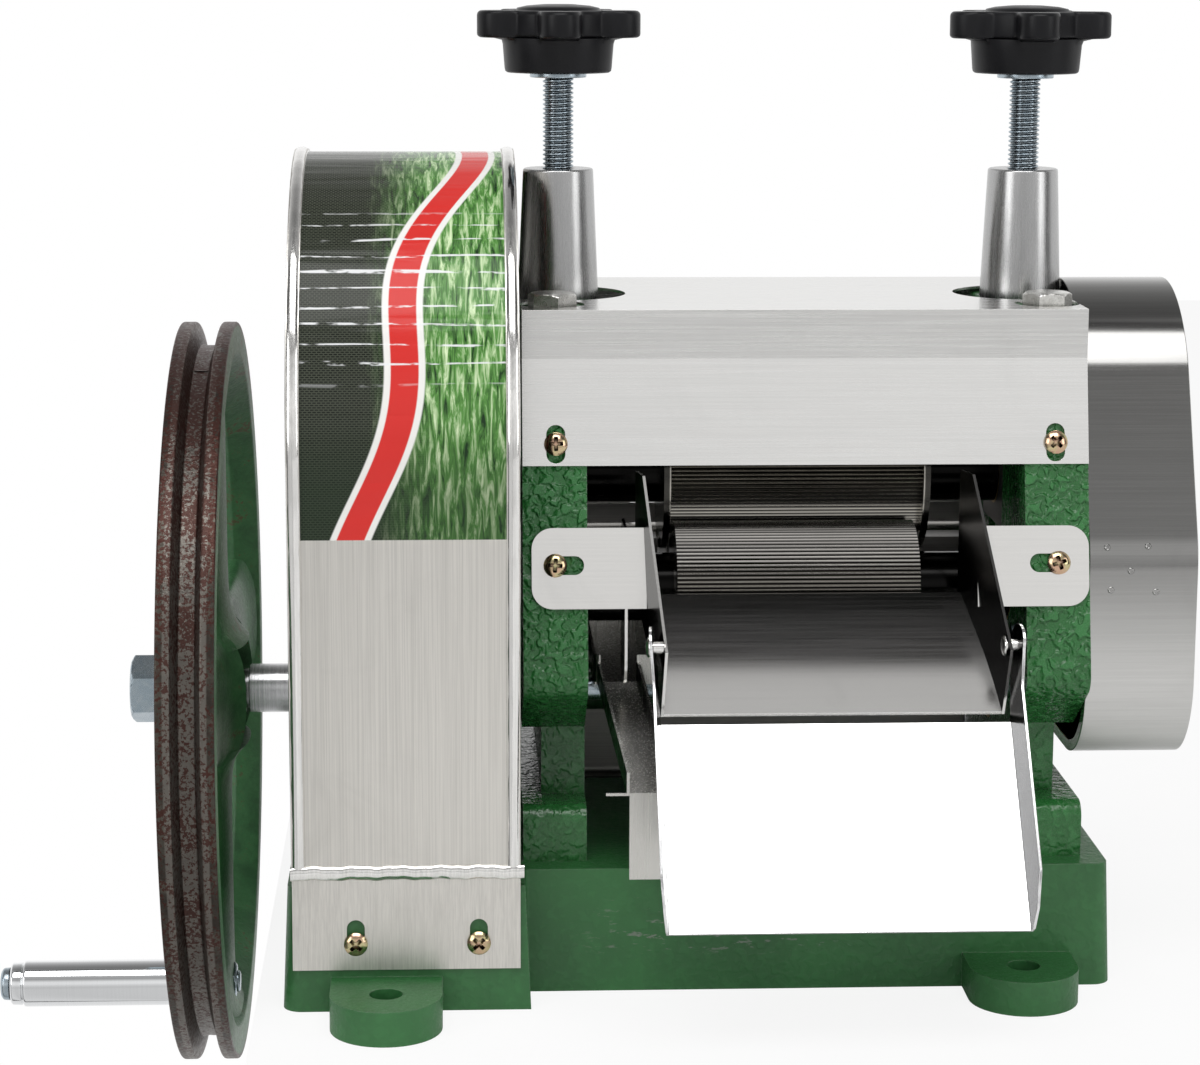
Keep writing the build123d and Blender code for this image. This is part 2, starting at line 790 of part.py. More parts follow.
roller_gear_hub = frame_outer_x + 2 * seat_gap
top_spur_gear = gear_solid(
    0, top_roller_z, roller_gear_left, roller_gear_face, roller_gear_teeth, roller_gear_module,
    roller_gear_backlash, top_gear_phase, roller_gear_hub, roller_gear_right, spacer_radius, gear_bore_radius,
)
save(top_spur_gear, "top_spur_gear")
for name, y, line_angle in (
    ("front_spur_gear", -lower_roller_y, -180.0 - lower_gear_angle),
    ("rear_spur_gear", lower_roller_y, lower_gear_angle),
):
    phase = mating_phase(top_gear_phase, roller_gear_teeth, roller_gear_teeth, line_angle)
    lower_gear = gear_solid(
        y, lower_roller_z, roller_gear_left, roller_gear_face, roller_gear_teeth, roller_gear_module,
        roller_gear_backlash, phase, roller_gear_hub, roller_gear_right, spacer_radius, gear_bore_radius,
    )
    save(lower_gear, name)

driven_phase = -90.0
driven_gear = gear_solid(
    0, top_roller_z, gear_left, gear_face, driven_teeth, gear_module, gear_backlash, driven_phase,
    gear_left, -frame_outer_x - 2 * seat_gap, gear_hub_radius, gear_bore_radius,
)
save(driven_gear, "driven_gear")

# plate between the lower rollers, hollowed to follow the top roller
with BuildPart() as trash_plate:
    with BuildSketch(yz_plane(-frame_inner_x - trash_plate_seat + drill_clearance)):
        with Locations((0, (trash_plate_bottom + slot_bottom - trash_plate_drop) / 2)):
            Rectangle(2 * trash_plate_half_width, slot_bottom - trash_plate_bottom - trash_plate_drop)
        with Locations((0, top_roller_z)):
            Circle(roller_radius + trash_plate_gap, mode=Mode.SUBTRACT)
        for y, z in roller_axes:
            with Locations((y, z)):
                Circle(roller_radius + trash_plate_side_gap, mode=Mode.SUBTRACT)
    extrude(amount=2 * (frame_inner_x + trash_plate_seat - drill_clearance))
    for start, way in top_roller_ends:
        with BuildSketch(yz_plane(start - way * trash_plate_flange_play)):
            with Locations((0, top_roller_z)):
                Circle(top_flange_radius + trash_plate_gap)
        extrude(amount=way * (top_flange_thickness + 2 * trash_plate_flange_play), mode=Mode.SUBTRACT)
save(trash_plate, "trash_plate")

# ---------------------------------------------------------------- bearing blocks


def block_solid(side):
    """Bearing block of the top roller, which slides in the frame's slot."""
    with BuildPart() as block:
        with BuildSketch(yz_plane(side * frame_inner_x)):
            with Locations((0, (block_bottom + block_top) / 2)):
                Rectangle(2 * block_half_width, block_top - block_bottom)
            chamfer(vertices(), block_chamfer)
            with Locations((0, top_roller_z)):
                Circle(block_bush_radius, mode=Mode.SUBTRACT)
        extrude(amount=side * frame_thickness)
    return block


def block_bush_solid(side):
    """Bush in the bearing block."""
    with BuildPart() as bush:
        with BuildSketch(yz_plane(side * frame_inner_x)):
            with Locations((0, top_roller_z)):
                Circle(block_bush_radius)
                Circle(journal_radius + running_fit, mode=Mode.SUBTRACT)
        extrude(amount=side * frame_thickness)
    return bush


left_block = block_solid(-1)
save(left_block, "left_block")
left_block_bush = block_bush_solid(-1)
save(left_block_bush, "left_block_bush")
right_block = block_solid(1)
save(right_block, "right_block")
right_block_bush = block_bush_solid(1)
save(right_block_bush, "right_block_bush")

# ---------------------------------------------------------------- pressing screws and knobs


def screw_solid(side):
    """Pressing screw from the top of its bearing block up into the knob, with its collar."""
    with BuildPart() as screw:
        with BuildSketch(Plane.XY.offset(block_top)):
            with Locations((side * post_x, 0)):
                Circle(screw_radius)
        extrude(amount=knob_bottom + knob_bore_depth - block_top)
        with BuildSketch(Plane.XY.offset(knob_bottom - knob_collar_height)):
            with Locations((side * post_x, 0)):
                Circle(knob_collar_radius)
        extrude(amount=knob_collar_height)
    return screw


def knob_solid(side):
    """Star knob: round hub, flat lobed star and a low dome."""
    with BuildPart() as knob:
        with BuildSketch(Plane.XZ):
            with BuildLine():
                Polyline(
                    (side * post_x + screw_radius, knob_bottom),
                    (side * post_x + knob_hub_radius - knob_hub_draft, knob_bottom),
                    (side * post_x + knob_hub_radius, knob_hub_top),
                    (side * post_x + knob_hub_radius, knob_arm_top),
                    (side * post_x + knob_dome_radius, knob_arm_top),
                    (side * post_x + knob_dome_radius * 0.8, knob_arm_top + knob_dome_rise * 0.8),
                    (side * post_x + knob_dome_radius * 0.4, knob_arm_top + knob_dome_rise),
                    (side * post_x, knob_arm_top + knob_dome_rise),
                    (side * post_x, knob_bottom + knob_bore_depth),
                    (side * post_x + screw_radius, knob_bottom + knob_bore_depth),
                    close=True,
                )
            make_face()
        revolve(axis=Axis((side * post_x, 0, 0), (0, 0, 1)))
        with BuildSketch(Plane.XY.offset(knob_arm_bottom)):
            with Locations((side * post_x, 0)):
                with PolarLocations(0, knob_arm_count):
                    with Locations((knob_arm_reach / 2 + screw_radius / 2, 0)):
                        SlotOverall(knob_arm_reach - screw_radius, 2 * knob_arm_radius)
                Circle(knob_star_bore, mode=Mode.SUBTRACT)
        extrude(amount=knob_arm_top - knob_arm_bottom)
    return knob


left_screw = screw_solid(-1)
save(left_screw, "left_screw")
left_knob = knob_solid(-1)
save(left_knob, "left_knob")
right_screw = screw_solid(1)
save(right_screw, "right_screw")
right_knob = knob_solid(1)
save(right_knob, "right_knob")

# ---------------------------------------------------------------- input shaft and flywheel

key_outer = shaft_end_radius - key_shaft_depth + key_height
key_left = hub_left + key_end_gap
key_right = shaft_step_x - key_end_gap

with BuildPart() as input_shaft:
    for start, end, radius in (
        (hub_left - wheel_nut_height + shaft_nut_recess, shaft_step_x, shaft_end_radius),
        (shaft_step_x, shaft_right_end, shaft_radius),
    ):
        with BuildSketch(yz_plane(start)):
            with Locations((0, shaft_z)):
                Circle(radius)
        extrude(amount=end - start)
    chamfer(input_shaft.edges().filter_by(GeomType.CIRCLE).sort_by(Axis.X)[0], 1)
    with BuildSketch(yz_plane(key_left)):
        with Locations((0, shaft_z - shaft_end_radius + key_shaft_depth / 2)):
            Rectangle(key_width, key_shaft_depth)
    extrude(amount=key_right - key_left, mode=Mode.SUBTRACT)
save(input_shaft, "input_shaft")

with BuildPart() as wheel_key:
    with BuildSketch(yz_plane(key_left)):
        with Locations((0, shaft_z - key_outer + key_height / 2)):
            Rectangle(key_width, key_height)
    extrude(amount=key_right - key_left)
save(wheel_key, "wheel_key")

with BuildPart() as flywheel:
    with BuildSketch(Plane.XZ):
        with BuildLine():
            Polyline(
                (rim_left, shaft_z + rim_inner_radius),
                (rim_left, shaft_z + wheel_radius),
                (rim_mid - groove_top_width / 2, shaft_z + wheel_radius),
                (rim_mid - groove_bottom_width / 2, shaft_z + wheel_radius - groove_depth),
                (rim_mid + groove_bottom_width / 2, shaft_z + wheel_radius - groove_depth),
                (rim_mid + groove_top_width / 2, shaft_z + wheel_radius),
                (rim_right, shaft_z + wheel_radius),
                (rim_right, shaft_z + rim_inner_radius),
                (rim_mid, shaft_z + rim_inner_radius - rim_crown),
                close=True,
            )
        make_face()
        with Locations(((hub_left + hub_right) / 2, shaft_z + hub_radius / 2)):
            Rectangle(hub_right - hub_left, hub_radius)
    revolve(axis=Axis((0, 0, shaft_z), (1, 0, 0)))
    for direction in (-1, 1):
        with BuildSketch(Plane.XY.offset(shaft_z)):
            with Locations((rim_mid, 0)):
                Ellipse(arm_half_thickness, arm_half_width)
        extrude(amount=direction * rim_inner_radius)
        with BuildSketch(Plane.XZ):
            with Locations((rim_mid, shaft_z)):
                Ellipse(arm_half_thickness, arm_half_width)
        extrude(amount=direction * rim_inner_radius)
    with BuildSketch(yz_plane(rim_left)):
        with Locations((0, crank_z)):
            Circle(crank_boss_radius)
    extrude(amount=crank_boss_right - rim_left)
    with BuildSketch(yz_plane(hub_left)):
        with Locations((0, shaft_z)):
            Circle(shaft_end_radius)
        with Locations((0, shaft_z - key_outer / 2)):
            Rectangle(key_width, key_outer)
        with Locations((0, crank_z)):
            Circle(crank_bolt_radius)
    extrude(amount=-hub_left, mode=Mode.SUBTRACT)
save(flywheel, "flywheel")

with BuildPart() as wheel_nut:
    with BuildSketch(yz_plane(hub_left)):
        with Locations((0, shaft_z)):
            RegularPolygon(wheel_nut_flats / 2, 6, major_radius=False)
            Circle(shaft_end_radius, mode=Mode.SUBTRACT)
    extrude(amount=-wheel_nut_height)
save(wheel_nut, "wheel_nut")

pinion = gear_solid(
    0, shaft_z, gear_left, gear_face, pinion_teeth, gear_module, gear_backlash,
    mating_phase(driven_phase, driven_teeth, pinion_teeth, -90.0),
    gear_left, -frame_outer_x - 2 * seat_gap, pinion_hub_radius, shaft_radius,
)
save(pinion, "pinion")

with BuildPart() as handle_bolt:
    for start, end, radius in (
        (sleeve_left - seat_gap, crank_bolt_end, crank_bolt_radius),
        (sleeve_left - seat_gap - crank_head_height, sleeve_left - seat_gap, crank_head_radius),
        (rim_left - crank_collar_width, rim_left, crank_head_radius),
    ):
        with BuildSketch(yz_plane(start)):
            with Locations((0, crank_z)):
                Circle(radius)
        extrude(amount=end - start)
save(handle_bolt, "handle_bolt")

with BuildPart() as handle_sleeve:
    with BuildSketch(yz_plane(sleeve_left)):
        with Locations((0, crank_z)):
            Circle(sleeve_radius)
            Circle(crank_bolt_radius + sleeve_bore_clearance, mode=Mode.SUBTRACT)
    extrude(amount=sleeve_right - sleeve_left)
    chamfer(handle_sleeve.edges().filter_by(GeomType.CIRCLE).filter_by(lambda e: e.radius > 8), 1)
save(handle_sleeve, "handle_sleeve")

with BuildPart() as shaft_collar:
    with BuildSketch(yz_plane(frame_outer_x + seat_gap)):
        with Locations((0, shaft_z)):
            Circle(collar_radius)
            Circle(shaft_radius, mode=Mode.SUBTRACT)
    extrude(amount=collar_width)
save(shaft_collar, "shaft_collar")

# ---------------------------------------------------------------- left gear cover


def arch(x, radius, axis_z, bottom):
    """Sketch, square to the rollers at x, of an upright with a half round top."""
    with BuildSketch(yz_plane(x)) as outline:
        with BuildLine():
            Line((-radius, bottom), (-radius, axis_z))
            ThreePointArc((-radius, axis_z), (0, axis_z + radius), (radius, axis_z))
            Line((radius, axis_z), (radius, bottom))
            Line((radius, bottom), (-radius, bottom))
        make_face()
    return outline.sketch


cover_bottom = base_height + seat_gap
left_cover_length = left_cover_inner_x - left_cover_outer_x

with BuildPart() as left_gear_cover:
    extrude(arch(left_cover_outer_x, left_cover_radius, left_cover_axis_z, cover_bottom), left_cover_length)
    seam_radius = left_cover_radius + left_cover_seam_rise
    for x in (left_cover_outer_x, left_cover_inner_x - left_cover_seam_width):
        extrude(arch(x, seam_radius, left_cover_axis_z, left_cover_crimp_z), left_cover_seam_width)
    inside = arch(left_cover_outer_x + sheet, left_cover_radius - sheet, left_cover_axis_z, cover_bottom)
    extrude(inside, left_cover_length - 2 * sheet, mode=Mode.SUBTRACT)
    mouth_radius = left_cover_radius - left_cover_lip
    mouth = arch(left_cover_inner_x - sheet, mouth_radius, left_cover_axis_z, cover_bottom)
    extrude(mouth, sheet, mode=Mode.SUBTRACT)
    with BuildSketch(yz_plane(left_cover_outer_x)):
        with Locations((0, shaft_z)):
            Circle(left_cover_shaft_hole_radius)
    extrude(amount=sheet, mode=Mode.SUBTRACT)
    for side in (-1, 1):
        left_cover_middle_x = (left_cover_outer_x + left_cover_inner_x) / 2
        flange_plane = base_face_plane(left_cover_middle_x, left_cover_flange_bottom, side)
        flange_height = (left_cover_crimp_z - left_cover_flange_bottom) / cos(radians(base_draft))
        with BuildSketch(flange_plane):
            with Locations((0, flange_height / 2)):
                Rectangle(left_cover_length, flange_height)
        extrude(amount=left_cover_flange_thickness)
        for x in left_cover_screw_xs:
            with BuildSketch(base_face_plane(x, left_cover_slot_z, side)):
                SlotOverall(left_cover_slot_height, left_cover_slot_width, rotation=90)
            extrude(amount=left_cover_flange_thickness, mode=Mode.SUBTRACT)
save(left_gear_cover, "left_gear_cover")

with BuildPart() as gear_cover_screws:
    for side in (-1, 1):
        for x in left_cover_screw_xs:
            with BuildSketch(base_face_plane(x, left_cover_screw_z, side).offset(-screw_reach / 2)):
                Circle(screw_shank_radius)
            extrude(amount=left_cover_flange_thickness + screw_reach / 2)
            with BuildSketch(base_face_plane(x, left_cover_screw_z, side).offset(left_cover_flange_thickness)):
                Circle(screw_head_radius)
            extrude(amount=screw_head_height, taper=12)
save(gear_cover_screws, "gear_cover_screws")

# ---------------------------------------------------------------- right gear cover


def rounded_housing(x, inset):
    """Sketch of the right gear cover's outline at x, drawn in from its outer surface by the inset."""
    top_axis_z = right_cover_top - right_cover_top_radius
    corner_y = right_cover_half_depth - right_cover_corner_radius
    low_axis_z = right_cover_bottom + right_cover_corner_radius
    with BuildSketch(yz_plane(x)) as outline:
        with BuildLine():
            CenterArc((0, top_axis_z), right_cover_top_radius - inset, 0, 360)
            for side in (-1, 1):
                for z in (right_cover_shoulder_z, low_axis_z):
                    CenterArc((side * corner_y, z), right_cover_corner_radius - inset, 0, 360)
        make_hull()
    return outline.sketch


right_cover_length = right_cover_outer_x - right_cover_inner_x

with BuildPart() as right_gear_cover:
    extrude(rounded_housing(right_cover_inner_x, 0), right_cover_length)
    inside = rounded_housing(right_cover_inner_x + sheet, sheet)
    extrude(inside, right_cover_length - 2 * sheet, mode=Mode.SUBTRACT)
    extrude(rounded_housing(right_cover_inner_x, right_cover_lip), sheet, mode=Mode.SUBTRACT)
    with BuildSketch(yz_plane(right_cover_inner_x)):
        with Locations(*right_cover_screw_places):
            Circle(right_cover_tab_radius)
            Circle(screw_shank_radius, mode=Mode.SUBTRACT)
    extrude(amount=sheet)
save(right_gear_cover, "right_gear_cover")

with BuildPart() as right_cover_screws:
    with BuildSketch(yz_plane(frame_inner_x)):
        with Locations(*right_cover_screw_places):
            Circle(screw_shank_radius)
    extrude(amount=right_cover_inner_x + sheet - frame_inner_x)
    with BuildSketch(yz_plane(frame_inner_x)):
        with Locations(*right_cover_screw_places):
            Circle(screw_head_radius)
    extrude(amount=-screw_head_height, taper=12)
save(right_cover_screws, "right_cover_screws")

# ---------------------------------------------------------------- chute

chute_run = chute_rear_y - chute_front_y
chute_floor_points = ((-70.5, 168.5), (-80.0, 161.5), (-98.0, 147.4), (-108.0, 138.0), (-118.0, 127.0))


def chute_side_x(rear_x, front_x, y):
    """Where a side plate's inner face stands at depth y: the plates aren't square to the rollers."""
    return rear_x + (front_x - rear_x) * (chute_rear_y - y) / chute_run


def chute_side_plane(rear_x, front_x):
    """Plane of a side plate's inner face, sketch x forwards along the plate, sketch y up."""
    along = (front_x - rear_x, -chute_run, 0)
    return Plane(origin=(rear_x, chute_rear_y, 0), x_dir=along, z_dir=(-chute_run, rear_x - front_x, 0))


def chute_side_outline(rear_x, front_x):
    """Side plate's corners in its own plane, from depths and heights."""
    stretch = sqrt(chute_run**2 + (front_x - rear_x) ** 2) / chute_run
    corners = [(chute_side_rear_y, chute_side_top), (chute_side_crest_y, chute_side_top)]
    corners += [(chute_side_front_y, chute_hinge_z - 1)]
    corners += [(y, z - sheet) for y, z in reversed(chute_floor_points)]
    corners += [(chute_side_rear_y, chute_floor_points[0][1])]
    return [((chute_rear_y - y) * stretch, z) for y, z in corners]


with BuildPart() as chute:
    with BuildSketch(yz_plane(chute_left_rear_x - cut_margin)):
        with BuildLine():
            Polyline(
                *chute_floor_points,
                *[(y, z - sheet) for y, z in reversed(chute_floor_points)],
                close=True,
            )
        make_face()
    extrude(amount=chute_right_front_x - chute_left_rear_x + 2 * cut_margin)
    with BuildSketch(Plane.XY.offset(chute_floor_points[-1][1] - 10)):
        with BuildLine():
            Polyline(
                *[
                    (chute_side_x(rear, front, y), y)
                    for rear, front, y in (
                        (chute_left_rear_x, chute_left_front_x, chute_rear_y + cut_margin),
                        (chute_left_rear_x, chute_left_front_x, chute_front_y - cut_margin),
                        (chute_right_rear_x, chute_right_front_x, chute_front_y - cut_margin),
                        (chute_right_rear_x, chute_right_front_x, chute_rear_y + cut_margin),
                    )
                ],
                close=True,
            )
        make_face()
    extrude(amount=70, mode=Mode.INTERSECT)
    for rear, front, out in (
        (chute_left_rear_x, chute_left_front_x, 1),
        (chute_right_rear_x, chute_right_front_x, -1),
    ):
        with BuildSketch(chute_side_plane(rear, front)):
            with BuildLine():
                Polyline(*chute_side_outline(rear, front), close=True)
            make_face()
        extrude(amount=out * sheet)
    ear_height = (chute_ear_top - chute_ear_bottom) / cos(radians(front_tilt))
    ear_z = (chute_ear_top + chute_ear_bottom) / 2
    ear_y = -frame_face_y(ear_z)
    for root_x, end_x, out in (
        (chute_side_x(chute_left_rear_x, chute_left_front_x, ear_y) - sheet / 2, chute_left_ear_end, -1),
        (chute_side_x(chute_right_rear_x, chute_right_front_x, ear_y) + sheet / 2, chute_right_ear_end, 1),
    ):
        with BuildSketch(front_plane(0, ear_z)):
            with Locations(((root_x + end_x) / 2, 0)):
                Rectangle(abs(end_x - root_x), ear_height)
            fillet(vertices().filter_by(lambda v: abs(v.X - end_x) < 0.1), ear_corner_radius)
        extrude(amount=sheet)
        with BuildSketch(front_plane(out * chute_slot_x, chute_screw_z)):
            SlotOverall(chute_slot_length, chute_slot_width)
        extrude(amount=sheet, mode=Mode.SUBTRACT)
    with BuildSketch(yz_plane(tongue_x)):
        with BuildLine():
            Polyline(
                (-frame_face_y(chute_ear_top), chute_ear_top),
                (-frame_face_y(chute_ear_bottom), chute_ear_bottom),
                (-frame_face_y(chute_ear_bottom), tongue_bottom),
                (tongue_rear_y, tongue_bottom),
                (tongue_rear_y, chute_ear_top),
                close=True,
            )
        make_face()
        fillet(vertices().group_by(Axis.Y)[0], tongue_corner_radius)
    extrude(amount=-sheet)
    with BuildSketch(yz_plane(chute_left_front_x - cut_margin)):
        with Locations((chute_hinge_y, chute_hinge_z)):
            Circle(rivet_radius + running_fit)
    extrude(amount=chute_right_front_x - chute_left_front_x + 2 * cut_margin, mode=Mode.SUBTRACT)
save(chute, "chute")

chute_screws = sheet_screws([(x, chute_screw_z, -1) for x in (-chute_screw_x, chute_screw_x)])
save(chute_screws, "chute_screws")

slope_cos = cos(radians(flap_slope))
slope_sin = sin(radians(flap_slope))
flap_down = (0, -slope_cos, -slope_sin)
flap_origin = (
    0,
    chute_hinge_y + slope_sin * flap_floor_drop,
    chute_hinge_z - slope_cos * flap_floor_drop,
)
flap_across = Plane(origin=flap_origin, x_dir=(1, 0, 0), z_dir=flap_down)
flap_side = Plane(origin=flap_origin, x_dir=flap_down, z_dir=(-1, 0, 0))
wall_tall = flap_floor_drop + flap_ear_radius + 1
wall_lean = flap_flare / flap_floor_drop
flap_end = flap_floor_start + flap_length

with BuildPart() as chute_flap:
    with BuildSketch(flap_across.offset(-flap_ear_radius - 1)):
        for foot_x, out in ((flap_left_x, -1), (flap_right_x, 1)):
            top_x = foot_x + out * wall_lean * wall_tall
            with BuildLine():
                Polyline(
                    (foot_x, -sheet),
                    (foot_x + out * sheet, -sheet),
                    (top_x + out * sheet, wall_tall),
                    (top_x, wall_tall),
                    close=True,
                )
            make_face()
    extrude(amount=flap_ear_radius + 1 + flap_end)
    with BuildSketch(flap_side):
        with Locations((0, flap_floor_drop)):
            Circle(flap_ear_radius)
        with BuildLine():
            Polyline(
                (-flap_ear_radius * 0.6, flap_floor_drop - flap_ear_radius * 0.8),
                (flap_floor_start, -sheet),
                (flap_end, -sheet),
                (flap_end, flap_tip_height),
                (flap_end - flap_bend_run, flap_bend_height),
                (flap_end - flap_shoulder_run, flap_wall_height),
                (flap_shoulder_run, flap_wall_height),
                (flap_ear_radius * 0.6, flap_floor_drop + flap_ear_radius * 0.8),
                close=True,
            )
        make_face()
    extrude(amount=150, both=True, mode=Mode.INTERSECT)
    with BuildSketch(flap_across.offset(flap_floor_start)):
        with Locations(((flap_left_x + flap_right_x) / 2, -sheet / 2)):
            Rectangle(flap_right_x - flap_left_x + sheet, sheet)
    extrude(amount=flap_length)
    with BuildSketch(yz_plane(-100)):
        with Locations((chute_hinge_y, chute_hinge_z)):
            Circle(rivet_radius + running_fit)
    extrude(amount=200, mode=Mode.SUBTRACT)
save(chute_flap, "chute_flap")

rivet_reach = wall_lean * (flap_floor_drop + rivet_head_radius) + sheet + rivet_play
left_plate_x = chute_side_x(chute_left_rear_x, chute_left_front_x, chute_hinge_y - rivet_head_radius)
right_plate_x = chute_side_x(chute_right_rear_x, chute_right_front_x, chute_hinge_y + rivet_head_radius)
with BuildPart() as chute_rivets:
    for inner_x, outer_x, out in (
        (left_plate_x + rivet_play, flap_left_x - rivet_reach, -1),
        (right_plate_x - rivet_play, flap_right_x + rivet_reach, 1),
    ):
        for start, end, radius in (
            (inner_x, outer_x, rivet_radius),
            (inner_x - out * rivet_head_height, inner_x, rivet_head_radius),
            (outer_x, outer_x + out * rivet_head_height, rivet_head_radius),
        ):
            with BuildSketch(yz_plane(start)):
                with Locations((chute_hinge_y, chute_hinge_z)):
                    Circle(radius)
            extrude(amount=end - start)
save(chute_rivets, "chute_rivets")

# ---------------------------------------------------------------- rear feed guide

feed_side_top = cover_hem_z - feed_hem_gap
feed_floor_points = ((feed_rear_start, feed_floor_z), (feed_rear_start + feed_reach, feed_floor_z + feed_rise))

with BuildPart() as feed_guide:
    with BuildSketch(yz_plane(-feed_half_length)):
        with BuildLine():
            Polyline(
                *feed_floor_points,
                *[(y, z - sheet) for y, z in reversed(feed_floor_points)],
                close=True,
            )
        make_face()
    extrude(amount=2 * feed_half_length)
    for x, out in ((-feed_half_length, -1), (feed_half_length, 1)):
        with BuildSketch(yz_plane(x)):
            with BuildLine():
                Polyline(
                    (feed_floor_points[0][0], feed_floor_z - sheet),
                    (feed_floor_points[1][0], feed_floor_z + feed_rise - sheet),
                    (feed_floor_points[1][0], feed_floor_z + feed_rise + feed_lip_rise),
                    (frame_face_y(feed_side_top) + feed_lip_rise, feed_side_top),
                    (feed_floor_points[0][0], feed_side_top),
                    close=True,
                )
            make_face()
        extrude(amount=out * sheet)
        with BuildSketch(front_plane(0, ear_z, 1)):
            with Locations((-(x + out * chute_ear_end_mean) / 2, 0)):
                Rectangle(chute_ear_end_mean - feed_half_length, ear_height)
            fillet(vertices().filter_by(lambda v: abs(abs(v.X) - chute_ear_end_mean) < 0.1), ear_corner_radius)
        extrude(amount=sheet)
        with BuildSketch(front_plane(out * chute_slot_x, chute_screw_z, 1)):
            SlotOverall(chute_slot_length, chute_slot_width)
        extrude(amount=sheet, mode=Mode.SUBTRACT)
save(feed_guide, "feed_guide")

feed_guide_screws = sheet_screws([(x, chute_screw_z, 1) for x in (-chute_screw_x, chute_screw_x)])
save(feed_guide_screws, "feed_guide_screws")

# ---------------------------------------------------------------- juice tray

spout_grade = (tray_floor_z - spout_lip_z) / (-spout_lip_y - tray_half_depth)
spout_back_y = -tray_half_depth + sheet / 2
spout_lip_top = spout_lip_z + spout_wall_height


def spout_plan(margin, back_y):
    """Plan of the skewed spout channel, grown to each side by the margin."""
    skew = (spout_front_x - spout_rear_x) / (-spout_lip_y - tray_half_depth)
    front_y = spout_lip_y if margin else spout_lip_y - sheet
    left_back = spout_rear_x + skew * (-tray_half_depth - back_y)
    left_front = spout_rear_x + skew * (-tray_half_depth - front_y)
    with BuildSketch(Plane.XY.offset(drip_bottom)) as outline:
        with BuildLine():
            Polyline(
                (left_back - margin, back_y),
                (left_back + spout_width + margin, back_y),
                (left_front + spout_width + margin, front_y),
                (left_front - margin, front_y),
                close=True,
            )
        make_face()
    return outline.sketch


with BuildPart() as spout_hollow:
    with BuildSketch(yz_plane(spout_rear_x - spout_width)):
        with BuildLine():
            Polyline(
                (-tray_half_depth + 2 * sheet, tray_floor_z),
                (-tray_half_depth, tray_floor_z),
                (spout_lip_y - sheet, spout_lip_z - sheet * spout_grade),
                (spout_lip_y - sheet, tray_rim_z + sheet),
                (-tray_half_depth + 2 * sheet, tray_rim_z + sheet),
                close=True,
            )
        make_face()
    extrude(amount=4 * spout_width)
    extrude(spout_plan(0, -tray_half_depth + 2 * sheet), tray_rim_z, mode=Mode.INTERSECT)

with BuildPart() as juice_tray:
    with BuildSketch(yz_plane(spout_rear_x - spout_width)):
        with BuildLine():
            Polyline(
                (spout_back_y, tray_floor_z - sheet),
                (-tray_half_depth, tray_floor_z - sheet),
                (spout_lip_y, spout_lip_z - sheet),
                (spout_lip_y, spout_lip_top),
                (-tray_half_depth, tray_floor_z + spout_wall_height),
                (spout_back_y, tray_floor_z + spout_wall_height),
                close=True,
            )
        make_face()
    extrude(amount=4 * spout_width)
    extrude(spout_plan(sheet, spout_back_y), tray_rim_z, mode=Mode.INTERSECT)
    with BuildSketch(Plane.XY.offset(tray_floor_z - sheet)):
        RectangleRounded(2 * tray_half_length, 2 * tray_half_depth, 3)
        RectangleRounded(2 * (tray_half_length - sheet), 2 * (tray_half_depth - sheet), 2, mode=Mode.SUBTRACT)
    extrude(amount=tray_rim_z - tray_floor_z + sheet)
    with BuildSketch(Plane.XY.offset(tray_floor_z - sheet)):
        Rectangle(2 * tray_half_length - sheet, 2 * tray_half_depth - sheet)
    extrude(amount=sheet)
    add(spout_hollow.part, mode=Mode.SUBTRACT)
    with BuildSketch(Plane(origin=(spout_front_x, spout_lip_y, spout_lip_z), x_dir=(1, 0, 0), z_dir=(0, -1, 0))):
        with Locations((drip_width / 2, (drip_bottom - spout_lip_z) / 2)):
            Rectangle(drip_width, spout_lip_z - drip_bottom)
        with Locations((-spout_tab_length / 2, -sheet / 2)):
            Rectangle(spout_tab_length, sheet)
    extrude(amount=-sheet)
save(juice_tray, "juice_tray")
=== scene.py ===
"""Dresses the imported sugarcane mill: detailed turned, threaded and pressed pieces, paint, plating
and brushed steel, a pale bench, soft studio light and the camera.

Lengths in the classes are millimetres in the frame of the model: X along the rollers, Y away
from the discharge side, Z up. Meshes are turned into metres when they are made.
"""

from __future__ import annotations

import logging
import math
from dataclasses import dataclass, field
from enum import Enum
from functools import reduce

import bmesh
import bpy
import numpy as np
from mathutils import Matrix, Vector

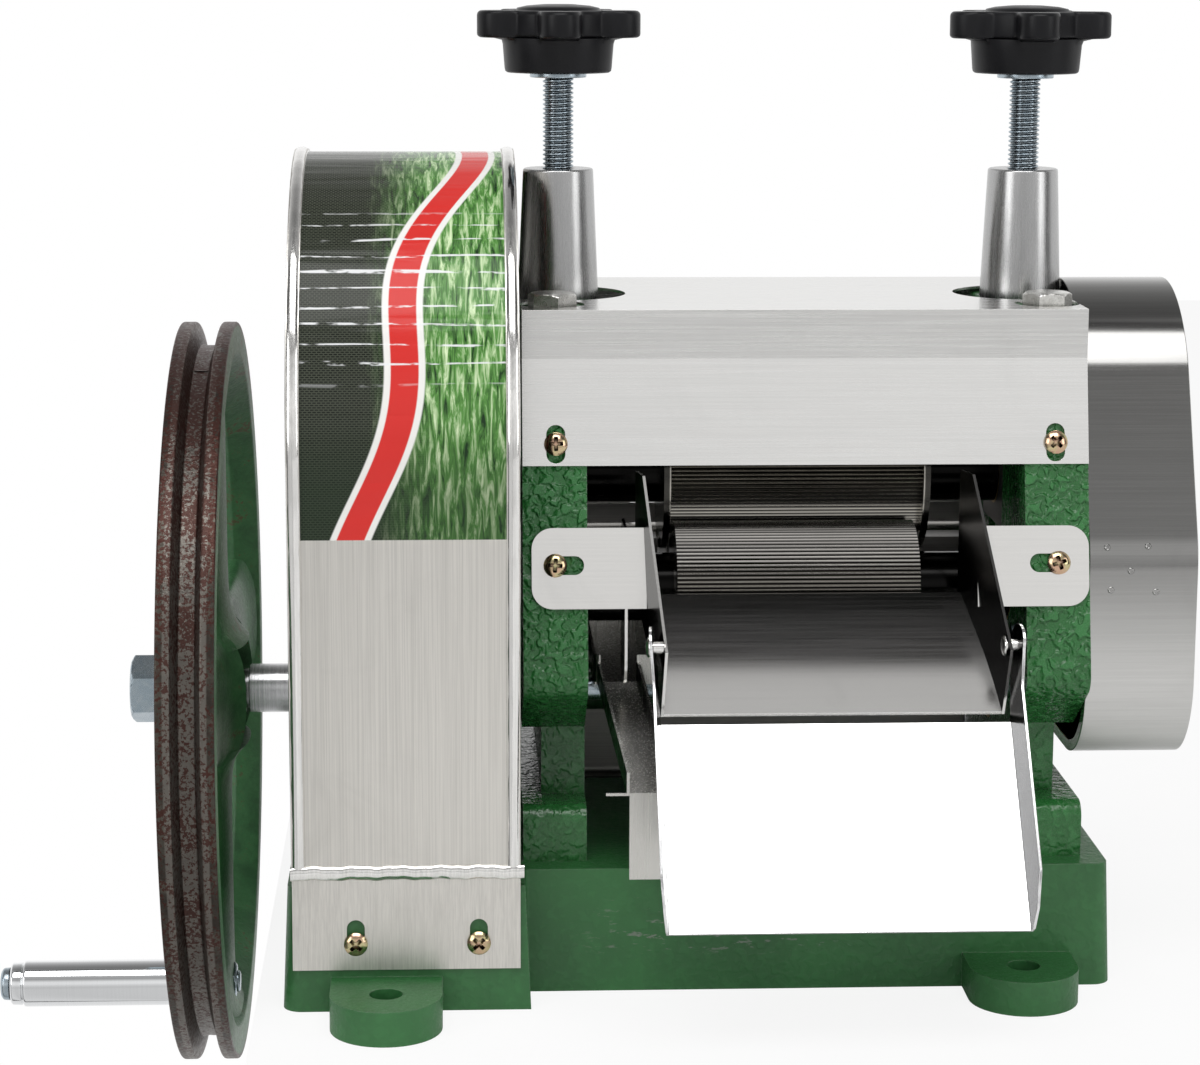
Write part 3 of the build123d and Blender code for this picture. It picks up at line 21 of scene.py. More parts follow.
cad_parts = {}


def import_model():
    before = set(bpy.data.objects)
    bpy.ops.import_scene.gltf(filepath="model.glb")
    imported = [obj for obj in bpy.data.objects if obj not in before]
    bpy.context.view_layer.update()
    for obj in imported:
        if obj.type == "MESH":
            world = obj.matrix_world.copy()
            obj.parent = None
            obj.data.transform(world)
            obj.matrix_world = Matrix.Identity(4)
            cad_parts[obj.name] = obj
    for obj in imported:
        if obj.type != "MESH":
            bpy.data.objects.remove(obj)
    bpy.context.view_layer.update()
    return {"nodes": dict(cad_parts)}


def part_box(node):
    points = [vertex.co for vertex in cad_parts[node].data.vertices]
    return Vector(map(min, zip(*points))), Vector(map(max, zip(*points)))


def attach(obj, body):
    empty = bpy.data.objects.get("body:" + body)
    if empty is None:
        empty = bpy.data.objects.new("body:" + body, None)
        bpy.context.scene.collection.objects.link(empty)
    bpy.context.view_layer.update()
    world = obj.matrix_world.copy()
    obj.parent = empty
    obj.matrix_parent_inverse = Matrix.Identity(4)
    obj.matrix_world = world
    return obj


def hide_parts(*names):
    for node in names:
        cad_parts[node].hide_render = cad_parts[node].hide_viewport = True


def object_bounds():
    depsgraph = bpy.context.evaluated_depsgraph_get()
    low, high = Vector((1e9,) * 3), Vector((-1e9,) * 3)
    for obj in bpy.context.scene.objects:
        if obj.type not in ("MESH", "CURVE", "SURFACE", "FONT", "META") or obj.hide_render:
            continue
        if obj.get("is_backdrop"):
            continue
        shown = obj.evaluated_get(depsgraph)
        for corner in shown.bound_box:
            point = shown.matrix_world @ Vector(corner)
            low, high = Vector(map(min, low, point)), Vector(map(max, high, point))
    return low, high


LOG = logging.getLogger("mill")
MM = 0.001
TURN = 2.0 * math.pi
Array = np.ndarray
Colour = tuple[float, float, float]
Point = tuple[float, float, float]
Socket = bpy.types.NodeSocket
Skin = tuple[Array, list[list[int]]]  # vertices in mm, and faces by their numbers


# ---------------------------------------------------------------- surfaces from arrays


def rounded(corners: list[tuple[float, float]], radius: float, steps: int = 4) -> Array:
    """Profile whose inner corners are blended by parabolas of so many steps.

    Each corner is cut at two points, a radius in mm along its sides but never past their
    middles, and a quadratic curve that the corner pulls takes its place.
    """
    points = np.asarray(corners, float)
    before, here, after = points[:-2], points[1:-1], points[2:]
    t = np.linspace(0.0, 1.0, steps + 1)[None, :, None]

    def cut(other: Array) -> Array:
        """The cut point on the side towards the other corner."""
        span = np.linalg.norm(other - here, axis=1, keepdims=True)
        return (here + (other - here) / span * np.minimum(radius, span * 0.5))[:, None, :]

    blend = (1 - t) ** 2 * cut(before) + 2 * t * (1 - t) * here[:, None, :] + t**2 * cut(after)
    return np.vstack([points[:1], blend.reshape(-1, 2), points[-1:]])


def turned(profile: Array, sides: int, shape: Array | float = 1.0) -> Array:
    """Rings of a body turned about local Z.

    A point is (r cos a, r sin a, h), where the profile's rows give h and r, and r is
    multiplied by a shape that may depend on the row and on the angle a.
    """
    angle = np.linspace(0.0, TURN, sides, endpoint=False)[None, :]
    radius = profile[:, 1][:, None] * np.broadcast_to(shape, (len(profile), sides))
    height = np.broadcast_to(profile[:, 0][:, None], radius.shape)
    return np.stack([radius * np.cos(angle), radius * np.sin(angle), height], axis=-1)


def quads(rows: int, cols: int, spans: int) -> list[list[int]]:
    """Faces between each of the first so many rings and the next, round all columns."""
    row, col = np.meshgrid(np.arange(spans), np.arange(cols), indexing="ij")
    after, beside = (row + 1) % rows, (col + 1) % cols
    return np.stack([row * cols + col, row * cols + beside, after * cols + beside, after * cols + col],
                    axis=-1).reshape(-1, 4).tolist()


def capped(rings: Array) -> Skin:
    """Closed skin over rings, rows by columns by 3: quads between rings and a fan over each end."""
    rows, cols = rings.shape[:2]
    around = np.arange(cols)
    ends = [
        np.stack([np.full(cols, rows * cols), (around + 1) % cols, around], axis=-1),
        np.stack([np.full(cols, rows * cols + 1), around + (rows - 1) * cols,
                  (around + 1) % cols + (rows - 1) * cols], axis=-1),
    ]
    verts = np.vstack([rings.reshape(-1, 3), rings[0].mean(0), rings[-1].mean(0)])
    return verts, quads(rows, cols, rows - 1) + ends[0].tolist() + ends[1].tolist()


def looped(rings: Array) -> Skin:
    """Closed skin over rings that also join last to first, as in a rim."""
    rows, cols = rings.shape[:2]
    return rings.reshape(-1, 3), quads(rows, cols, rows)


def merged(parts: list[Skin]) -> Skin:
    """Several skins as one: vertices stacked, face numbers shifted by what came before."""
    verts, faces, shift = [], [], 0
    for points, polygons in parts:
        verts.append(points)
        faces += [[index + shift for index in polygon] for polygon in polygons]
        shift += len(points)
    return np.vstack(verts), faces


def stood(skin: Skin, origin: Point, axis: Point) -> Skin:
    """The skin turned so that local Z lies along the axis, then moved to the origin point."""
    turn = np.array(Vector(axis).normalized().to_track_quat("Z", "Y").to_matrix())
    return skin[0] @ turn.T + np.asarray(origin, float), skin[1]


def lathed(corners: list[tuple[float, float]], radius: float, steps: int, sides: int, origin: Point,
           axis: Point) -> Skin:
    """A blended profile of (height, radius) turned round an axis that starts at the origin point."""
    return stood(capped(turned(rounded(corners, radius, steps), sides)), origin, axis)


def side_name(side: int) -> str:
    """Name of the side with negative or positive X."""
    return "left" if side < 0 else "right"


def spun(skin: Skin, angle: float) -> Skin:
    """The skin turned about local Z by an angle."""
    c, s = math.cos(angle), math.sin(angle)
    return skin[0] @ np.array([[c, s, 0], [-s, c, 0], [0, 0, 1]]), skin[1]


def hexagon(flats: float, sides: int) -> Array:
    """Radius of a hexagon by angle: half the flats over the cosine of the angle off a flat."""
    angle = np.linspace(0.0, TURN, sides, endpoint=False)
    return flats / 2 / np.cos((angle + math.pi / 6) % (math.pi / 3) - math.pi / 6)


def hex_skin(flats: float, height: float, both: bool = False) -> Skin:
    """Hexagon head on local Z = 0 with a turned chamfer, or with both ends chamfered, as on a nut.

    The radius is the hexagon's, but no more than a 30 degree cone that meets the end face at
    a circle just inside the flats.
    """
    sides, bevel = 96, 0.085 * flats
    low = np.linspace(0.0, bevel, 5) if both else np.array([0.0, bevel])
    heights = np.concatenate([low, np.linspace(height - bevel, height, 5)])
    depth = height - heights
    depth = np.minimum(depth, heights) if both else depth
    limit = flats / 2 * 0.96 + depth * math.sqrt(3)
    radius = np.minimum(hexagon(flats, sides)[None, :], limit[:, None])
    profile = np.stack([heights, np.ones_like(heights)], axis=-1)
    return capped(turned(profile, sides, radius))


def pan_head_skin(radius: float, height: float, shank: float, reach: float) -> Skin:
    """Pan head screw with a cross recess, its seat on local Z = 0 and its shank reaching below.

    The head is an oval dome; inside the two crossing bars of the recess the surface drops by
    a depth that fades over a narrow edge.
    """
    sides = 72
    dome = np.linspace(1.0, 0.0, 22)
    across = np.concatenate([[shank / radius, shank / radius, 0.98], dome])
    lift = np.concatenate([[-reach, 0.0, 0.0], height * (0.42 + 0.58 * (1 - dome**2.6))])
    rings = turned(np.stack([lift, across * radius], axis=-1), sides)
    near, far = np.abs(rings[..., 0]), np.abs(rings[..., 1])

    def bar(u: Array, v: Array) -> Array:
        """One bar of the cross: narrow in u, long in v."""
        return np.clip((radius * 0.15 - u) / 0.14, 0, 1) * np.clip((radius * 0.6 - v) / 0.2, 0, 1)

    cross = np.maximum(bar(near, far), bar(far, near))
    rings[3:, :, 2] -= cross[3:] * height * 0.75
    return capped(rings)


def path_skin(path: Array, side: Array, rise: Array, profile: Array) -> Skin:
    """Skin of a closed profile of (u, v) along a path: point + u times side + v times rise."""
    u, v = profile[:, 0][None, :, None], profile[:, 1][None, :, None]
    return capped(path[:, None, :] + u * side[:, None, :] + v * rise[:, None, :])


def oval(half_width: float, half_height: float, sides: int = 20) -> Array:
    """Closed oval profile, rows of (u, v)."""
    angle = np.linspace(0.0, TURN, sides, endpoint=False)
    return np.stack([half_width * np.cos(angle), half_height * np.sin(angle)], axis=-1)


# ---------------------------------------------------------------- finishes


class Grain(Enum):
    """Direction of the brushing on a metal."""

    ALONG_X = (12.0, 1500.0, 1500.0)
    ALONG_Z = (1500.0, 1500.0, 12.0)
    ROUND_X = (1800.0, 6.0, 6.0)


class Wiring:
    """Short hand for wiring a material's or world's nodes."""

    def __init__(self, tree: bpy.types.NodeTree) -> None:
        """Starts from an empty tree."""
        self.tree = tree
        tree.nodes.clear()

    def node(self, kind: str, inputs: dict | None = None, **settings: object) -> bpy.types.Node:
        """A node of a kind, its settings made and its inputs fed with values or other sockets."""
        made = self.tree.nodes.new(kind)
        for name, value in settings.items():
            setattr(made, name, value)
        for name, value in (inputs or {}).items():
            if isinstance(value, Socket):
                self.tree.links.new(value, made.inputs[name])
            else:
                made.inputs[name].default_value = value
        return made

    def place(self) -> Socket:
        """Object coordinates in metres."""
        return self.node("ShaderNodeTexCoord").outputs["Object"]

    def stretched(self, scale: tuple[float, float, float]) -> Socket:
        """Object coordinates stretched by a scale on each axis."""
        return self.node("ShaderNodeMapping", {"Vector": self.place(), "Scale": scale}).outputs[0]

    def noise(self, vector: Socket, scale: float, detail: float = 3.0,
              rough: float = 0.55, twist: float = 0.0) -> Socket:
        """Noise value from 0 to 1."""
        return self.node("ShaderNodeTexNoise", {"Vector": vector, "Scale": scale, "Detail": detail,
                                                "Roughness": rough, "Distortion": twist}).outputs[0]

    def math(self, operation: str, first: object, second: object = 0.0) -> Socket:
        """One step of arithmetic."""
        return self.node("ShaderNodeMath", {0: first, 1: second}, operation=operation).outputs[0]

    def times(self, *values: object) -> Socket:
        """Product of the values."""
        return reduce(lambda first, second: self.math("MULTIPLY", first, second), values)

    def plus(self, *values: object) -> Socket:
        """Sum of the values."""
        return reduce(lambda first, second: self.math("ADD", first, second), values)

    def less(self, first: object, second: object) -> Socket:
        """The first value less the second."""
        return self.math("SUBTRACT", first, second)

    def distance(self, first: object, second: object) -> Socket:
        """Root of the sum of both squares."""
        return self.math("SQRT", self.plus(self.times(first, first), self.times(second, second)))

    def scaled(self, vector: Socket, x: float, y: float, turn: float = 0.0) -> Socket:
        """A flat vector scaled on X and Y and turned in its plane."""
        return self.node("ShaderNodeMapping", {"Vector": vector, "Scale": (x, y, 1.0),
                                               "Rotation": (0.0, 0.0, turn)}).outputs[0]

    def fade(self, value: object, low: float, high: float,
             start: float = 0.0, end: float = 1.0) -> Socket:
        """The value carried smoothly from low..high to start..end."""
        return self.node("ShaderNodeMapRange", {"Value": value, "From Min": low, "From Max": high,
                                                "To Min": start, "To Max": end},
                         interpolation_type="SMOOTHSTEP").outputs[0]

    def mix(self, share: object, first: object, second: object, blend: str = "MIX") -> Socket:
        """Two colours mixed by a share."""
        made = self.node("ShaderNodeMix", data_type="RGBA", blend_type=blend)
        for index, value in ((0, share), (6, first), (7, second)):
            if isinstance(value, Socket):
                self.tree.links.new(value, made.inputs[index])
            else:
                made.inputs[index].default_value = value if index == 0 else (*value, 1.0)
        return made.outputs[2]

    def bump(self, height: Socket, depth: float, strength: float = 1.0,
             under: Socket | None = None) -> Socket:
        """Bumped normal from a height of 0 to 1 times a depth in metres."""
        feeds = {"Height": height, "Distance": depth, "Strength": strength}
        if under is not None:
            feeds["Normal"] = under
        return self.node("ShaderNodeBump", feeds).outputs[0]

    def axes(self) -> tuple[Socket, Socket, Socket]:
        """Object X, Y and Z as three sockets."""
        made = self.node("ShaderNodeSeparateXYZ", {0: self.place()})
        return made.outputs[0], made.outputs[1], made.outputs[2]

    def edge_wear(self, radius: float) -> Socket:
        """Share of bare metal at edges: how far a rounded normal leaves the true one."""
        soft = self.node("ShaderNodeBevel", {"Radius": radius}, samples=4).outputs[0]
        true = self.node("ShaderNodeNewGeometry").outputs["Normal"]
        dot = self.node("ShaderNodeVectorMath", {0: soft, 1: true}, operation="DOT_PRODUCT").outputs["Value"]
        return self.fade(self.less(1.0, dot), 0.02, 0.12)

    def surface(self, **inputs: object) -> None:
        """The principled shader and the output."""
        names = {key.replace("_", " ").replace("Specular Level", "Specular IOR Level"): value
                 for key, value in inputs.items()}
        shader = self.node("ShaderNodeBsdfPrincipled", names)
        self.node("ShaderNodeOutputMaterial", {"Surface": shader.outputs[0]})


class Finish:
    """A finish makes its material once and hands it out."""

    name: str

    def wire(self, wiring: Wiring) -> None:
        """Wires the material's nodes."""
        raise NotImplementedError

    def material(self) -> bpy.types.Material:
        """The material, made the first time it is asked for."""
        known = bpy.data.materials.get(self.name)
        if known is None:
            known = bpy.data.materials.new(self.name)
            known.use_nodes = True
            self.wire(Wiring(known.node_tree))
        return known


@dataclass(frozen=True)
class Enamel(Finish):
    """Green enamel over rough cast iron."""

    name: str
    colour: Colour
    deep: Colour
    wrinkle: float = 1.0
    scuffed: bool = False
    gloss: float = 0.38

    def wire(self, wiring: Wiring) -> None:
        """Lumpy skin from two noises that calms down towards the foot, with painted highlights on the lump tops,
        worn edges and scuffs.
        """
        place = wiring.place()
        coarse = wiring.noise(place, 300.0, 0.6, 0.4, 0.5)
        fine = wiring.noise(place, 1100.0, 2.0, 0.5, 0.6)
        cloud = wiring.noise(place, 16.0, 4.0, 0.6)
        skin = wiring.plus(wiring.fade(coarse, 0.34, 0.66), wiring.times(fine, 0.16))
        tone = wiring.mix(wiring.fade(cloud, 0.35, 0.7), self.deep, self.colour)
        # painted highlight: the tops of the coarse lumps are lightened towards a pale green
        tone = wiring.mix(wiring.fade(coarse, 0.5, 0.68, 0.0, 0.28 * self.wrinkle), tone, (0.06, 0.27, 0.08))
        wear = wiring.times(wiring.edge_wear(0.0008), wiring.fade(fine, 0.45, 0.62, 0.0, 0.7))
        if self.scuffed:
            x, _, z = wiring.axes()
            specks = wiring.fade(wiring.noise(wiring.stretched((110.0, 500.0, 420.0)), 1.0, 5.0, 0.72), 0.58, 0.64)
            specks = wiring.times(specks, wiring.fade(x, -0.105, -0.07), wiring.fade(x, 0.06, -0.02),
                                  wiring.fade(z, 0.014, 0.02), wiring.fade(z, 0.044, 0.034), 0.75)
            wear = wiring.math("MAXIMUM", wear, specks)
        colour = wiring.mix(wear, tone, (0.20, 0.21, 0.19))
        rough = wiring.fade(wiring.axes()[2], 0.09, 0.16, 0.3, 1.0)
        normal = wiring.bump(skin, 0.0010 * self.wrinkle, rough)
        shine = wiring.fade(fine, 0.3, 0.7, self.gloss - 0.08, self.gloss + 0.1)
        wiring.surface(Base_Color=colour, Roughness=shine, Normal=normal)


@dataclass(frozen=True)
class SheetSteel(Finish):
    """Stainless or plated metal with a brushed grain, faint clouds and stains, and painted shade set by facing,
    place, height and flute roots.
    """

    name: str
    colour: Colour
    grain: Grain
    roughness: float = 0.24
    depth: float = 0.000012
    streak: float = 0.10
    stain: float = 0.0
    # painted shade: flank darkens faces along X, floor darkens faces that look up, span sets where the ends darken,
    # shade darkens by height, flutes darken the roots
    flank: float = 1.0
    floor: float = 1.0
    span: tuple[float, float] = (-1.0, 1.0)
    shade: tuple[float, float, float] = (0.0, 1.0, 1.0)
    flutes: tuple[float, float, float, float] = (0.0, 0.0, 0.0, 0.0)

    def kept(self, wiring: Wiring) -> Socket:
        """Share of the colour that painted shade leaves.

        Painted shade falls on faces that look along X, on faces that look up, past the span in X, by a fade
        towards the upper of the shade's two heights, and from the tips of the flutes to their
        roots, whose four numbers are the axis' Y and Z and the two radii.
        """
        normal = wiring.node("ShaderNodeNewGeometry").outputs["True Normal"]
        facing = wiring.node("ShaderNodeSeparateXYZ", {0: normal})
        x, y, z = wiring.axes()
        # painted shade on faces that look along X and on faces that look up
        side = wiring.fade(wiring.math("ABSOLUTE", facing.outputs[0]), 0.5, 0.8, 1.0, self.flank)
        level = wiring.fade(facing.outputs[2], 0.25, 0.33, 1.0, self.floor)
        # painted shade past the span in X
        past = wiring.math("MAXIMUM", wiring.less(x, self.span[1]),
                           wiring.less(self.span[0], x))
        inside = wiring.fade(past, 0.0, 0.0005, 1.0, 0.12)
        # painted shade towards the upper of the shade's two heights
        high = wiring.fade(z, self.shade[0], self.shade[1], 1.0, self.shade[2])
        share = wiring.times(side, level, inside, high)
        if self.flutes[3] == 0.0:
            return share
        axis_y, axis_z, root, tip = self.flutes
        # painted shade in the flute roots
        radius = wiring.distance(wiring.less(y, axis_y), wiring.less(z, axis_z))
        return wiring.times(share, wiring.fade(radius, root, tip, 0.06, 1.0))

    def tone(self, wiring: Wiring) -> tuple[Socket, Socket]:
        """Colour and grain height.

        The grain is noise stretched along the brushing; the colour is lightened and darkened by
        it, and stains are a cloudy darkening. Painted shade from kept then takes it towards near black.
        """
        lines = wiring.noise(wiring.stretched(self.grain.value), 1.0, 4.0, 0.7)
        cloud = wiring.noise(wiring.place(), 22.0, 5.0, 0.62, 0.8)
        low, high = (tuple(c * (1 + sign * self.streak) for c in self.colour) for sign in (-1, 1))
        colour = wiring.mix(wiring.fade(lines, 0.3, 0.7), low, tuple(min(c, 1.0) for c in high))
        dull = tuple(c * 0.62 for c in self.colour)
        colour = wiring.mix(wiring.fade(cloud, 0.5, 0.8, 0.0, self.stain), colour, dull)
        # painted shade: the colour goes to near black where kept falls
        return wiring.mix(self.kept(wiring), (0.004, 0.004, 0.004), colour), lines

    def wire(self, wiring: Wiring) -> None:
        """A metal whose roughness and normal follow the grain."""
        colour, lines = self.tone(wiring)
        rough = wiring.fade(lines, 0.25, 0.75, self.roughness * 0.8, self.roughness * 1.25)
        wiring.surface(Base_Color=colour, Metallic=1.0, Roughness=rough,
                       Normal=wiring.bump(lines, self.depth, 0.6))


@dataclass(frozen=True)
class PrintedSheet(SheetSteel):
    """Brushed sheet with a varnished generic print wrapped round the upper part."""

    left: float = -0.2139
    right: float = -0.1291
    bottom: float = 0.2025
    axis_z: float = 0.2325
    radius: float = 0.1215
    varnish: float = 0.16

    def wire(self, wiring: Wiring) -> None:
        """Print over steel.

        The print's height is the arc length, the angle from the top times the radius. Where it
        bends, short pale lines are painted as highlights for the glare of its creases.
        """
        steel, lines = self.tone(wiring)
        x, y, z = wiring.axes()
        from_top = wiring.math("ARCTAN2", wiring.times(y, -1.0), wiring.less(z, self.axis_z))
        arc = wiring.times(from_top, self.radius)
        across = wiring.node("ShaderNodeMapRange", {"Value": x, "From Min": self.left,
                                                    "From Max": self.right}).outputs[0]
        flat = wiring.node("ShaderNodeCombineXYZ", {0: x, 1: arc, 2: 0.0}).outputs[0]
        blades = wiring.noise(wiring.scaled(flat, 420.0, 60.0, 0.35), 1.0, 4.0, 0.65, 0.7)
        creases = wiring.noise(wiring.scaled(flat, 9.0, 150.0), 1.0, 2.0, 0.4, 0.4)
        ground = self.ribbon(wiring, across, arc, self.leaves(wiring, across, flat, z, blades))
        ripple = wiring.math("SINE", wiring.plus(wiring.times(arc, 760.0), wiring.times(creases, 5.0)))
        broken = wiring.noise(wiring.scaled(flat, 75.0, 260.0), 1.0, 3.0, 0.6)
        # painted highlight: pale lines along the creases, mixed into the print's colour
        glare = wiring.times(wiring.fade(ripple, 0.86, 0.98), wiring.fade(broken, 0.44, 0.56),
                             wiring.fade(z, 0.262, 0.275), wiring.fade(z, 0.338, 0.325), 0.9)
        ground = wiring.mix(glare, ground, (0.78, 0.79, 0.80))
        inside = wiring.times(self.past(wiring, x, self.left), self.past(wiring, x, self.right, -1.0),
                              self.past(wiring, z, self.bottom))
        normal = wiring.bump(creases, 0.0011, wiring.times(inside, 0.5), wiring.bump(lines, self.depth, 0.5))
        rough = wiring.less(wiring.fade(lines, 0.25, 0.75, self.roughness * 0.85, self.roughness * 1.2),
                            wiring.times(inside, self.roughness - self.varnish))
        wiring.surface(Base_Color=wiring.mix(inside, steel, ground), Metallic=wiring.less(1.0, inside),
                       Roughness=rough, Normal=normal, Specular_Level=0.2)

    @staticmethod
    def past(wiring: Wiring, value: Socket, edge: float, way: float = 1.0) -> Socket:
        """1 where the value is past an edge of the print on the way that is given, 0 short of it."""
        return wiring.fade(value, edge - way * 0.0002, edge + way * 0.0002)

    @staticmethod
    def leaves(wiring: Wiring, across: Socket, flat: Socket,
               z: Socket, blades: Socket) -> Socket:
        """The ground: a woven lattice on the left, leaf blades on the right, darker towards the foot."""
        lattice = wiring.node("ShaderNodeTexBrick", {
            "Vector": wiring.scaled(flat, 260.0, 260.0), "Color1": (0.012, 0.014, 0.011, 1),
            "Color2": (0.005, 0.006, 0.005, 1), "Mortar": (0.055, 0.062, 0.045, 1),
            "Scale": 1.0, "Mortar Size": 0.06}).outputs[0]
        leaf = wiring.node("ShaderNodeValToRGB", {0: blades})
        ramp = leaf.color_ramp
        ramp.elements[0].position, ramp.elements[0].color = 0.33, (0.012, 0.035, 0.012, 1)
        ramp.elements[1].position, ramp.elements[1].color = 0.68, (0.66, 0.80, 0.50, 1)
        ramp.elements.new(0.5).color = (0.10, 0.27, 0.06, 1)
        side = wiring.fade(wiring.plus(across, wiring.times(blades, 0.22)), 0.42, 0.82)
        ground = wiring.mix(side, lattice, leaf.outputs[0])
        return wiring.mix(wiring.fade(z, 0.262, 0.215, 0.0, 0.55), ground, (0.012, 0.028, 0.012))

    @staticmethod
    def ribbon(wiring: Wiring, across: Socket, arc: Socket,
               ground: Socket) -> Socket:
        """The ground with a waving red ribbon with pale edges laid over it."""
        bend = wiring.times(wiring.math("SINE", wiring.times(arc, 46.0)), 0.07)
        middle = wiring.plus(bend, wiring.less(0.86, wiring.times(arc, 2.6)))
        off = wiring.math("ABSOLUTE", wiring.less(across, middle))
        ground = wiring.mix(wiring.fade(off, 0.105, 0.095), ground, (0.80, 0.79, 0.76))
        return wiring.mix(wiring.fade(off, 0.072, 0.064), ground, (0.62, 0.035, 0.03))


@dataclass(frozen=True)
class WheelIron(Finish):
    """Machined and rusting rim over a green painted casting, told apart by radius and depth."""

    name: str
    axis_z: float
    rim_mid: float

    def wire(self, wiring: Wiring) -> None:
        """Bare metal where the radius is past the rim's turned face, enamel elsewhere."""
        x, y, z = wiring.axes()
        up = wiring.less(z, self.axis_z)
        radius = wiring.distance(y, up)
        place = wiring.place()
        blotch = wiring.noise(place, 60.0, 6.0, 0.7, 0.5)
        fine = wiring.noise(place, 620.0, 4.0, 0.7)
        wobble = wiring.times(wiring.less(blotch, 0.5), 0.003)
        inner = wiring.math("ABSOLUTE", wiring.less(x, self.rim_mid))
        bare = wiring.fade(wiring.plus(radius, wobble), 0.1636, 0.1645)
        groove = wiring.times(wiring.fade(radius, 0.153, 0.1545), wiring.fade(inner, 0.0093, 0.0085))
        bare = wiring.math("MAXIMUM", bare, groove)
        steel = wiring.mix(wiring.fade(blotch, 0.35, 0.65), (0.030, 0.024, 0.019), (0.085, 0.077, 0.062))
        high = wiring.times(wiring.fade(up, 0.02, 0.16), 0.09)
        rust = wiring.fade(wiring.plus(fine, high, wiring.times(blotch, 0.5)), 0.76, 0.80)
        steel = wiring.mix(wiring.times(groove, 0.55), steel, (0.20, 0.185, 0.165))
        steel = wiring.mix(wiring.times(rust, 0.85), steel, (0.050, 0.012, 0.008))
        skin = wiring.noise(place, 300.0, 3.0, 0.6, 1.0)
        green = wiring.mix(wiring.fade(blotch, 0.3, 0.7), (0.026, 0.090, 0.034), (0.050, 0.165, 0.060))
        worn = wiring.fade(wiring.plus(wiring.times(fine, 0.6), high, blotch), 0.91, 1.02, 0.0, 0.75)
        green = wiring.mix(worn, green, (0.10, 0.045, 0.028))
        normal = wiring.bump(skin, 0.0004, 0.8, wiring.bump(fine, 0.00006, 0.6))
        wiring.surface(Base_Color=wiring.mix(bare, green, steel), Metallic=wiring.times(bare, 0.75),
                       Roughness=wiring.fade(fine, 0.3, 0.7, 0.34, 0.5), Normal=normal)


@dataclass(frozen=True)
class Moulded(Finish):
    """Black moulded plastic with a fine skin."""

    name: str
    colour: Colour
    roughness: float = 0.32

    def wire(self, wiring: Wiring) -> None:
        """Near black with a faint mottling and a fine orange peel."""
        place = wiring.place()
        peel = wiring.noise(place, 1400.0, 2.0, 0.5)
        cloud = wiring.noise(place, 45.0, 3.0, 0.5)
        light = tuple(c * 1.5 for c in self.colour)
        wiring.surface(Base_Color=wiring.mix(wiring.fade(cloud, 0.3, 0.7), self.colour, light),
                       Roughness=wiring.fade(cloud, 0.3, 0.7, self.roughness * 0.85, self.roughness * 1.2),
                       Normal=wiring.bump(peel, 0.00003, 0.5), Specular_Level=0.22)


@dataclass(frozen=True)
class Plating(Finish):
    """Zinc plated steel, clear or yellow, with clouded tint."""

    name: str
    colour: Colour
    tint: Colour
    roughness: float = 0.26

    def wire(self, wiring: Wiring) -> None:
        """Metal whose tint drifts with a cloudy noise, with painted shade that takes it near black in its recesses.
        """
        place = wiring.place()
        cloud = wiring.noise(place, 190.0, 3.0, 0.6, 0.6)
        fine = wiring.noise(place, 2600.0, 2.0, 0.5)
        tint = wiring.mix(wiring.fade(cloud, 0.35, 0.65), self.colour, self.tint)
        # painted shade: ambient occlusion takes the tint to near black in recesses
        openness_for_painted_shade = wiring.node("ShaderNodeAmbientOcclusion", {"Distance": 0.0014}, samples=6).outputs["AO"]
        tint = wiring.mix(wiring.fade(openness_for_painted_shade, 0.45, 0.85), (0.012, 0.010, 0.008), tint)
        wiring.surface(Base_Color=tint, Metallic=1.0,
                       Roughness=wiring.fade(fine, 0.3, 0.7, self.roughness * 0.8, self.roughness * 1.3),
                       Normal=wiring.bump(fine, 0.00002, 0.5))


FRAME_GREEN = Enamel("frame_green_enamel", (0.024, 0.150, 0.034), (0.016, 0.100, 0.022), 1.0, False, 0.25)
BASE_GREEN = Enamel("base_green_enamel", (0.030, 0.145, 0.040), (0.022, 0.105, 0.030), 0.3, True, 0.40)
COVER_STEEL = SheetSteel("cover_brushed_steel", (0.76, 0.755, 0.74), Grain.ALONG_X, 0.24, 0.000006, 0.05, 0.12)
HOUSING_STEEL = PrintedSheet("housing_steel_with_print", (0.665, 0.645, 0.605), Grain.ALONG_Z, 0.34, stain=0.22)
SEAM_STEEL = SheetSteel("seam_bright_steel", (0.80, 0.79, 0.77), Grain.ALONG_Z, 0.14, stain=0.25)
# painted reflection: the band's colour darkens towards its top, standing in for a dark reflection
BAND_STEEL = SheetSteel("gear_band_polished_steel", (0.60, 0.595, 0.58), Grain.ALONG_X, 0.12, 0.000004, 0.05, 0.15,
                        shade=(0.12, 0.20, 0.42))
# painted shade: the chute's side walls and floor are darkened by the way they face
CHUTE_STEEL = SheetSteel("chute_polished_steel", (0.74, 0.73, 0.71), Grain.ALONG_X, 0.2, 0.000004, 0.03, 0.2,
                         flank=0.09, floor=0.13)
# painted shade on the flap's faces that look along X
FLAP_STEEL = SheetSteel("flap_polished_steel", (0.80, 0.80, 0.805), Grain.ALONG_X, 0.17, 0.000004, 0.03, flank=0.09)
# painted shade on the tray's faces that look along X
TRAY_STEEL = SheetSteel("tray_steel", (0.60, 0.59, 0.56), Grain.ALONG_Z, 0.24, 0.000003, 0.03, 0.2, flank=0.2)
POST_STEEL = SheetSteel("post_turned_steel", (0.42, 0.42, 0.42), Grain.ALONG_Z, 0.25, 0.000003, 0.03, 0.2)
SHAFT_STEEL = SheetSteel("shaft_turned_steel", (0.56, 0.56, 0.57), Grain.ROUND_X, 0.2, 0.00003, 0.12)
